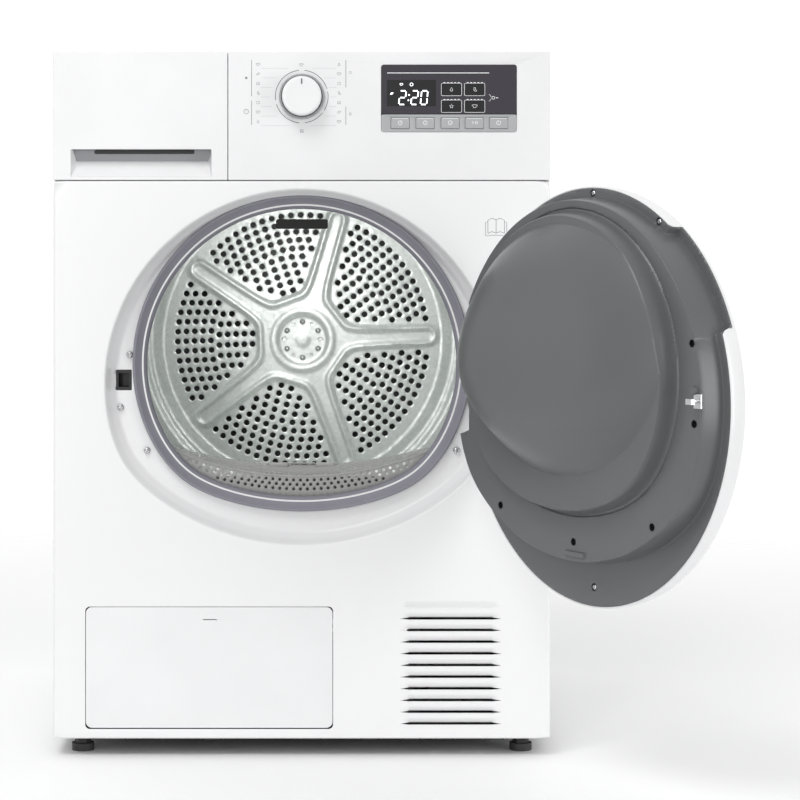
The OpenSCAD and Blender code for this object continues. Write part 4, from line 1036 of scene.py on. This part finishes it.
frame_bars += [bar_between((x, x + 3), (y, y + 2), (low_z, high_z - 2), 0.6)
               for x in (-62, -1.5, 59) for y in (mid_y - 11.5, mid_y + 9.5)]
piece("filter_frame", "filter", together(*frame_bars), "filter_grey", closed=True,
      sharp=45)
net = lattice(np.linspace(-119, 119, 60), np.linspace(low_z + 3, high_z - 3, 30))
cells = np.arange(60 * 30).reshape(30, 60)
quads = np.stack([cells[:-1, :-1], cells[:-1, 1:], cells[1:, 1:], cells[1:, :-1]], axis=-1).reshape(-1, 4)
bag = np.cos(net[:, 0] * np.pi / 120)
nets = [(lay(net, mid_y + way * (10.2 - bag)), quads) for way in (-1, 1)]
piece("filter_nets", "filter", together(*nets), "filter_net", wall=0.25)

# %% [markdown]
# ## Fascia, tank drawer and worktop
# These white mouldings meet in thin seams, and a small radius along each edge makes a seam read as a
# line. Each is a plate with a quarter-round rim. The drawer's handle is a pocket whose floor slopes
# forward and whose roof hides a slot for the finger tips. The pocket's back wall is coloured grey and
# the slot black, as painted shade under the roof.


# %% A plate with holes
def pierced_plate(x, z, y, holes, corner=1.2, rim=1.0, steps=5):
    """A plate with a rounded rim and openings: rings for the rim, and a cut blank for the face."""
    turn = np.linspace(0, np.pi / 2, steps)
    rings = [lay(rounded(x, z, corner, 0), y[1])]
    rings += [lay(rounded(x, z, corner, rim * (1 - np.cos(a))), y[0] + rim * (1 - np.sin(a)))
              for a in turn]
    flat, faces = blank(rounded(x, z, corner, rim), holes)
    return together(loft(np.array(rings), False, False), (lay(flat, y[0]), faces))


fascia_x, _, fascia_z = room("fascia").T
window_x, window_z = (95.0, 258.0), (748.3, 829.5)
knob_z = 791.1
moulding_y = (front, front + 14)
fascia_holes = [rounded(window_x, window_z, 3.4), circle(0, knob_z, 5.0, 24)]
fascia = pierced_plate(fascia_x, fascia_z, moulding_y, fascia_holes)
piece("fascia_face", "cabinet", fascia, "plastic_white", ["fascia"], wall=2.2, sharp=35)

# %% Tank drawer front
tank_x, _, tank_z = room("tank_front").T
pocket_x, pocket_z = np.array([20.8, 190.1]) + tank_x[0], np.array([3.8, 37.1]) + tank_z[0]
middle = np.array([pocket_x.mean(), pocket_z.mean()])
mouth = rounded(pocket_x, pocket_z, 1.2, 0, 4)
below = np.where(mouth[:, 1] < middle[1], 1.0, 0.0)
inner = np.column_stack([mouth[:, 0] - np.sign(mouth[:, 0] - middle[0]) * (2.0 + 3.5 * below),
                         mouth[:, 1] + 19.0 * below])
pocket_rings = np.array([lay(mouth, front), lay(mouth + (mouth - middle) * (-0.004, -0.01), front + 0.8),
                         lay(inner * 0.04 + mouth * 0.96, front + 1.6), lay(inner, front + 17.5)])
drawer = together(pierced_plate(tank_x, tank_z, moulding_y, [mouth]), loft(pocket_rings, False, True))
piece("drawer_face", "drawer", drawer, "plastic_white", ["tank_front"], sharp=35)
# Painted shade: the pocket's back wall is coloured grey for the shadow under its roof, though the
# moulding is white.
band = slab(pocket_x + (2.4, -2.4), (front + 15.8, front + 17.4), pocket_z + (19.4, -0.4), 0.6, 0.3, 4)
piece("drawer_pocket_back", "drawer", band, "painted_pocket_shade", closed=True)
# Painted shade: the finger slot under the pocket's roof is a near-black slab.
finger_slot_z = (pocket_z[1] - 5.2, pocket_z[1] - 0.2)
finger_slot = slab(pocket_x + (27.5, -21.5), (front + 14.5, front + 17.5), finger_slot_z, 1.4, 0.5)
piece("drawer_slot", "drawer", finger_slot, "plastic_dark", closed=True)
tail = slab(tank_x + (18, -8), (front + 4, front + 24.8), tank_z + (42, -14), 3, 1.0)
piece("drawer_back", "drawer", tail, "plastic_white", closed=True)

# %% Worktop and service flap
slab_x, slab_y, slab_z = room("worktop").T
SLAB_RIM = 2.4


def slab_ring(inset, z):
    """The worktop's outline seen from above, at one height."""
    edge = rounded(slab_x, slab_y, 3.0, inset)
    return np.column_stack([edge, np.full(len(edge), z)])


rings = [slab_ring(1.2, slab_z[0]), slab_ring(0.0, slab_z[0] + 1.2)]
rings += [slab_ring(SLAB_RIM * (1 - np.cos(a)), slab_z[1] - SLAB_RIM * (1 - np.sin(a)))
          for a in np.linspace(0, np.pi / 2, 6)]
piece("worktop_slab", "cabinet", loft(np.array(rings)), "plastic_white", ["worktop"], closed=True,
      sharp=35)
press = rounded((-118.5, -101.5), (flap_high[2] - 15.6, flap_high[2] - 14.6), 0.5, 0, 4)
flap = pierced_plate((flap_low[0] + 3, flap_high[0] - 3), (flap_low[2], flap_high[2]),
                     (front, front + 2.5), [press], corner=7.5, rim=0.9)
piece("flap_face", "flap", flap, "plastic_white", ["service_flap"], wall=1.6, sharp=35)

# %% [markdown]
# ## Dial and keys
# The dial is a white cap in a bright ring; both are turned profiles, so light runs round their edges.
# The keys are small plates with a soft rim that stand a little proud of the strip. A white line along
# each key's top edge is a painted highlight.

# %% Dial
knob_low = room("programme_knob")[0]
face_y = knob_low[1] + 0.4
cap = [(0, face_y + 0.3), (17.5, face_y + 0.3), (19.0, face_y), (21.6, face_y), (23.0, face_y + 0.7),
       (23.5, face_y + 2.2), (23.7, face_y + 12), (23.7, front - 1.5)]
piece("dial_cap", "knob", turned(cap, 0, knob_z, 120), "plastic_white", ["programme_knob"],
      closed=True, sharp=50)
ring = [(23.9, -2), (24.1, -7.0), (24.8, -8.2), (25.8, -8.2), (26.8, -6.6), (27.2, -3.2), (27.2, -0.6),
        (23.9, -0.6), (23.9, -2)]
ring = turned([(r, front + y) for r, y in ring], 0, knob_z, 120, False, False)
piece("dial_ring", "knob", ring, "chrome_grey", closed=True, sharp=50)
# Painted shade: a near-black ring closes the floor of the gap between cap and ring.
gap = turned([(23.7, front - 7.6), (24.2, front - 7.4)], 0, knob_z, 96, False, False)
piece("dial_gap", "knob", gap, "plastic_dark")

# %% [markdown]
# ## Printing
# Marks are printed with ink a few hundredths of a millimetre thick. Each is a line of points given a
# width, so a whole pictogram is a few short polylines. They are plain signs of the builder's own:
# garments, a clock, a drop, a leaf, a star. There is no lettering, only the digits of the time left.


# %% Strokes of ink
def stroke(points, width, closed=False):
    """A ribbon along points: each one is moved half the width to both sides of the line's direction."""
    line = np.array(points, dtype=float)
    if closed:
        way = np.roll(line, -1, 0) - np.roll(line, 1, 0)
        line, way = np.concatenate([line, line[:1]]), np.concatenate([way, way[:1]])
    else:
        way = np.gradient(line, axis=0)
    way = way / np.maximum(np.hypot(*way.T), 1e-9)[:, None]
    side = np.column_stack([-way[:, 1], way[:, 0]]) * width / 2
    edge = np.arange(len(line))
    count = len(line)
    quads = np.column_stack([edge[:-1] + count, edge[1:] + count, edge[1:], edge[:-1]])
    return np.concatenate([line + side, line - side]), quads


def printed(name, body, strokes, y, finish):
    """Lays strokes side by side at one depth, as one piece."""
    shells = [(lay(points, y), faces) for points, faces in strokes]
    return piece(name, body, together(*shells), finish)


def arc(x, z, radius, start, end, count=24):
    """Points along an arc, with angles in degrees."""
    turn = np.radians(np.linspace(start, end, count))
    return np.column_stack([x + radius * np.cos(turn), z + radius * np.sin(turn)])


TEE = [(-1.0, -1.0), (-1.0, 0.2), (-1.7, -0.1), (-2.0, 0.7), (-0.9, 1.3), (-0.4, 1.1), (0.4, 1.1),
       (0.9, 1.3), (2.0, 0.7), (1.7, -0.1), (1.0, 0.2), (1.0, -1.0)]
TROUSERS = [(-1.1, 1.3), (1.1, 1.3), (1.4, -1.3), (0.5, -1.3), (0, 0.5), (-0.5, -1.3), (-1.4, -1.3)]
TOWEL = [(-1.3, 1.1), (1.3, 1.1), (1.3, -1.1), (-1.3, -1.1)]
DROP = [(0, 1.5), (0.7, 0.3), (0.95, -0.4), (0.6, -1.1), (0, -1.35), (-0.6, -1.1), (-0.95, -0.4),
        (-0.7, 0.3)]
LEAF = [(-1.6, -0.8), (-0.9, 0.5), (0.3, 1.0), (1.7, 1.1), (1.3, 0.0), (0.3, -0.9)]
SOCK = [(-0.5, 1.4), (0.6, 1.4), (0.6, -0.1), (1.6, -0.7), (1.3, -1.3), (0.0, -1.2), (-0.6, -0.4)]
STAR = [(r * np.sin(k * np.pi / 5), r * np.cos(k * np.pi / 5)) for k, r in enumerate((1.6, 0.7) * 5)]


def sign(shape, x, z, size=1.0, width=0.35):
    """One closed pictogram at a place."""
    return stroke(np.array(shape) * size + (x, z), width, True)


garments = [TEE, LEAF, TROUSERS, SOCK, TOWEL, TEE, DROP]
print_y = front - 0.06
rows = 795.3 + 11.45 * np.arange(3, -4, -1)
pale_marks, marks = [], []
for row, level in enumerate(rows):
    marks += [sign(garments[row], -52.4, level, 1.25, 0.42),
              sign(garments[-1 - row], 44.7, level, 1.25, 0.42)]
    rule = level - 4.7
    end = np.sqrt(max(37.5 ** 2 - (rule - knob_z) ** 2, 100.0))
    pale_marks += [stroke([(-48.5, rule), (-end, rule)], 0.4),
                   stroke([(end - 3, rule), (41.5, rule)], 0.4)]
for start, stop in ((96, 188), (197, 264), (277, 322), (329, 371), (17, 84)):
    marks.append(stroke(arc(0, knob_z, 31.6, start, stop, 40), 0.75))
for bar_x, spans in ((-60.1, ((791.6, 835.0), (757.2, 786.4))), (52.9, ((802.0, 834.8), (757.3, 779.2)))):
    marks += [stroke([(bar_x, low), (bar_x, high)], 0.55) for low, high in spans]
marks += [sign(STAR, -66.5, 813.4, 0.9, 0.9), sign(circle(0, 0, 2.8, 20), -66.6, 773.2, 1.0, 0.45),
          stroke([(-66.6, 773.2), (-66.6, 774.9)], 0.4), sign(TOWEL, 58.2, 820.0, 1.0, 0.4),
          sign(DROP, 58.2, 770.5, 1.3, 0.4), sign(TEE, -0.5, 829.0, 1.25, 0.45),
          sign(TROUSERS, 0.0, 749.8, 1.3, 0.6)]
printed("fascia_marks", "cabinet", marks, print_y, "ink_grey")
printed("fascia_rules", "cabinet", pale_marks, print_y, "ink_pale")
pointer = stroke([(0, knob_z + 14.0), (0, knob_z + 20.6)], 1.5)
printed("dial_mark", "knob", [pointer], face_y - 0.05, "ink_grey")
pages = [(223.2, 627), (223.2, 642.8), (228, 645.2), (233, 643.4), (238, 645.2), (243, 642.8),
         (243, 627)]
lower = [(223.2, 627), (228, 629.2), (233, 627.4), (238, 629.2), (243, 627)]
cover = [(223.2, 640.6), (220.4, 640.6), (220.4, 624.2), (233, 625.0), (245.8, 624.2), (245.8, 640.6),
         (243, 640.6)]
book = [stroke(line, 0.55) for line in (pages, lower, [(233, 627.4), (233, 643.4)], cover)]
printed("book_sign_and_highlight", "cabinet", book, print_y, "ink_grey")

# %% [markdown]
# ## Display
# The printed window has a dark upper part with the screen, four touch fields and a fine line, and a
# silver strip below it that holds the keys. Digits are made of seven bars each, set at a slight slant.

# %% Window and strip
glass_y = front - 0.5
strip_top = 769.6
foil_x, foil_y = (window_x[0] + 0.3, window_x[1] - 0.3), (glass_y, front + 2.2)
dark_part = pierced_plate(foil_x, (strip_top + 0.5, window_z[1] - 0.3), foil_y, [], corner=3.0, rim=0.5)
piece("window_foil", "cabinet", dark_part, "display_dark", ["display_window"], sharp=40)
key_nodes = ("key_delay", "key_time", "key_dryness", "key_start", "key_power")
key_rooms = [room(node) for node in key_nodes]
key_holes = [rounded((low[0] - 0.35, high[0] + 0.35), (low[2] - 0.35, high[2] + 0.35), 1.2, 0, 5)
             for low, high in key_rooms]
strip = pierced_plate(foil_x, (window_z[0] + 0.3, strip_top), foil_y, key_holes, corner=2.2, rim=0.4)
piece("key_strip", "cabinet", strip, "key_silver", wall=1.2, sharp=40)
screen = slab((102.0, 161.0), (glass_y - 0.08, glass_y + 0.3), (779.4, 811.0), 0.6, 0.05, 4)
piece("screen", "cabinet", screen, "screen_black", closed=True)

# %% Digits and fields
SEGMENTS = {"0": "abcdef", "2": "abged"}
BARS = {"a": ((0.12, 1.0), (0.88, 1.0)), "b": ((1.0, 0.94), (1.0, 0.56)), "c": ((1.0, 0.44), (1.0, 0.06)),
        "d": ((0.12, 0.0), (0.88, 0.0)), "e": ((0.0, 0.44), (0.0, 0.06)), "f": ((0.0, 0.94), (0.0, 0.56)),
        "g": ((0.12, 0.5), (0.88, 0.5))}


def digit(which, x, z, width=7.4, height=16.4, lean=0.10):
    """The bars of one digit, each a stroke between two of its corners."""
    size = np.array([width, height])
    bars = [np.array(BARS[letter]) * size for letter in SEGMENTS[which]]
    return [stroke(bar + (x, z) + bar[:, 1:] * (lean, 0), 1.55) for bar in bars]


lit = digit("2", 116.2, 781.6) + digit("2", 130.8, 781.6) + digit("0", 142.2, 781.6)
lit += [sign(circle(0, 0, 0.55, 8), 127.4 + 0.1 * dz, 781.6 + dz, 1.0, 0.9) for dz in (5.0, 11.4)]
lit += [sign(LEAF, 107.8, 794.6, 1.0, 0.8), sign(TEE, 119.4, 805.6, 1.0, 0.5),
        sign(circle(0, 0, 1.8, 16), 131.6, 805.6, 1.0, 0.6)]
printed("time_left", "cabinet", lit, glass_y - 0.12, "segments_lit")
fields = [((167.0, 192.0), (791.8, 807.4)), ((194.8, 219.8), (791.8, 807.4)),
          ((167.0, 192.0), (771.8, 787.2)), ((194.8, 219.8), (771.8, 787.2))]
signs = (DROP, SOCK, STAR, TEE)
outlines = [stroke([(102.4, 819.4), (224.6, 819.4)], 0.9)]
for (fx, fz), shape in zip(fields, signs):
    outlines.append(stroke(rounded(fx, fz, 1.8, 0.3, 5), 0.45, True))
    outlines.append(sign(shape, (fx[0] + fx[1]) / 2, (fz[0] + fz[1]) / 2, 1.6, 0.5))
    outlines += [stroke([(tab, fz[1] + 0.3), (tab + 2.2, fz[1] + 0.3)], 1.1)
                 for tab in np.linspace(fx[0] + 3, fx[1] - 5, 5)]
outlines += [stroke(arc(222.4, 789.6, 4.6, 62, 12, 10), 0.4),
             stroke(arc(222.4, 789.6, 4.6, -12, -62, 10), 0.4),
             sign(circle(0, 0, 1.7, 16), 229.6, 789.6, 1.0, 0.6),
             stroke([(232.6, 789.6), (235.4, 789.6)], 0.9)]
printed("field_lines", "cabinet", outlines, glass_y - 0.05, "ink_white")
pane_y, shrink = (glass_y - 0.04, glass_y + 0.2), np.array([0.5, -0.5])
panes = [slab(fx + shrink, pane_y, fz + shrink, 1.3, 0.03) for fx, fz in fields]
piece("touch_fields", "cabinet", together(*panes), "screen_black", closed=True)

# %% Keys
ring_sign, play = circle(0, 0, 2.3, 20), [(-2.6, 1.5), (-2.6, -1.5), (-0.4, 0.0)]
for node, (low, high) in zip(key_nodes, key_rooms):
    cap = slab((low[0], high[0]), (low[1], front + 1.0), (low[2], high[2]), 1.2, 0.7)
    piece(node + "_cap", node + "_cap", cap, "key_silver", [node], closed=True, sharp=50)
    cx, cz = (low[0] + high[0]) / 2, (low[2] + high[2]) / 2 + 0.4
    if node == "key_start":
        lines = [sign(play, cx, cz, 1.0, 0.6), stroke([(cx + 1.4, cz - 1.8), (cx + 1.4, cz + 1.8)], 0.7),
                 stroke([(cx + 3.2, cz - 1.8), (cx + 3.2, cz + 1.8)], 0.7)]
    elif node == "key_power":
        lines = [stroke(arc(cx, cz, 2.4, 120, 420, 24), 0.6),
                 stroke([(cx, cz + 0.4), (cx, cz + 3.0)], 0.6)]
    else:
        hand = {"key_delay": (1.6, 1.4), "key_time": (0.0, 1.7), "key_dryness": (1.5, -0.8)}[node]
        lines = [sign(ring_sign, cx, cz, 1.0, 0.6), stroke([(cx, cz), (cx + hand[0], cz + hand[1])], 0.5)]
    # Painted highlight: a white line along the key's top edge, where light falls on its rim. It is not
    # print.
    lines.append(stroke([(low[0] + 1.6, high[2] - 1.0), (high[0] - 1.6, high[2] - 1.0)], 0.5))
    printed(node + "_sign_and_highlight", node + "_cap", lines, low[1] - 0.05, "ink_white")

# %% [markdown]
# ## Floor
# The floor is a disc that turns clear far from the machine, so no horizon shows.

# %% Floor
stage_rings = np.array([lay(circle(0, 0, r, 96), 0)[:, [0, 2, 1]] for r in (0.05, 900.0, 2600.0, 9000.0)])
points, faces = loft(stage_rings, True, False)
mesh = bpy.data.meshes.new("floor")
mesh.from_pydata((points * MM).tolist(), [], faces)
floor = bpy.data.objects.new("floor", mesh)
scene.collection.objects.link(floor)
pale = Finish("pale_floor", (0.98, 0.98, 0.985), 0.7)
pale.set("Roughness", 0.65 + 0.1 * pale.noise(3.0))
away = pale.node("ShaderNodeVectorMath", {"operation": "LENGTH"}, {0: pale.place}, "Value")
pale.set("Alpha", 1 - away.between(0.5, 2.6))
mesh.materials.append(pale.material)
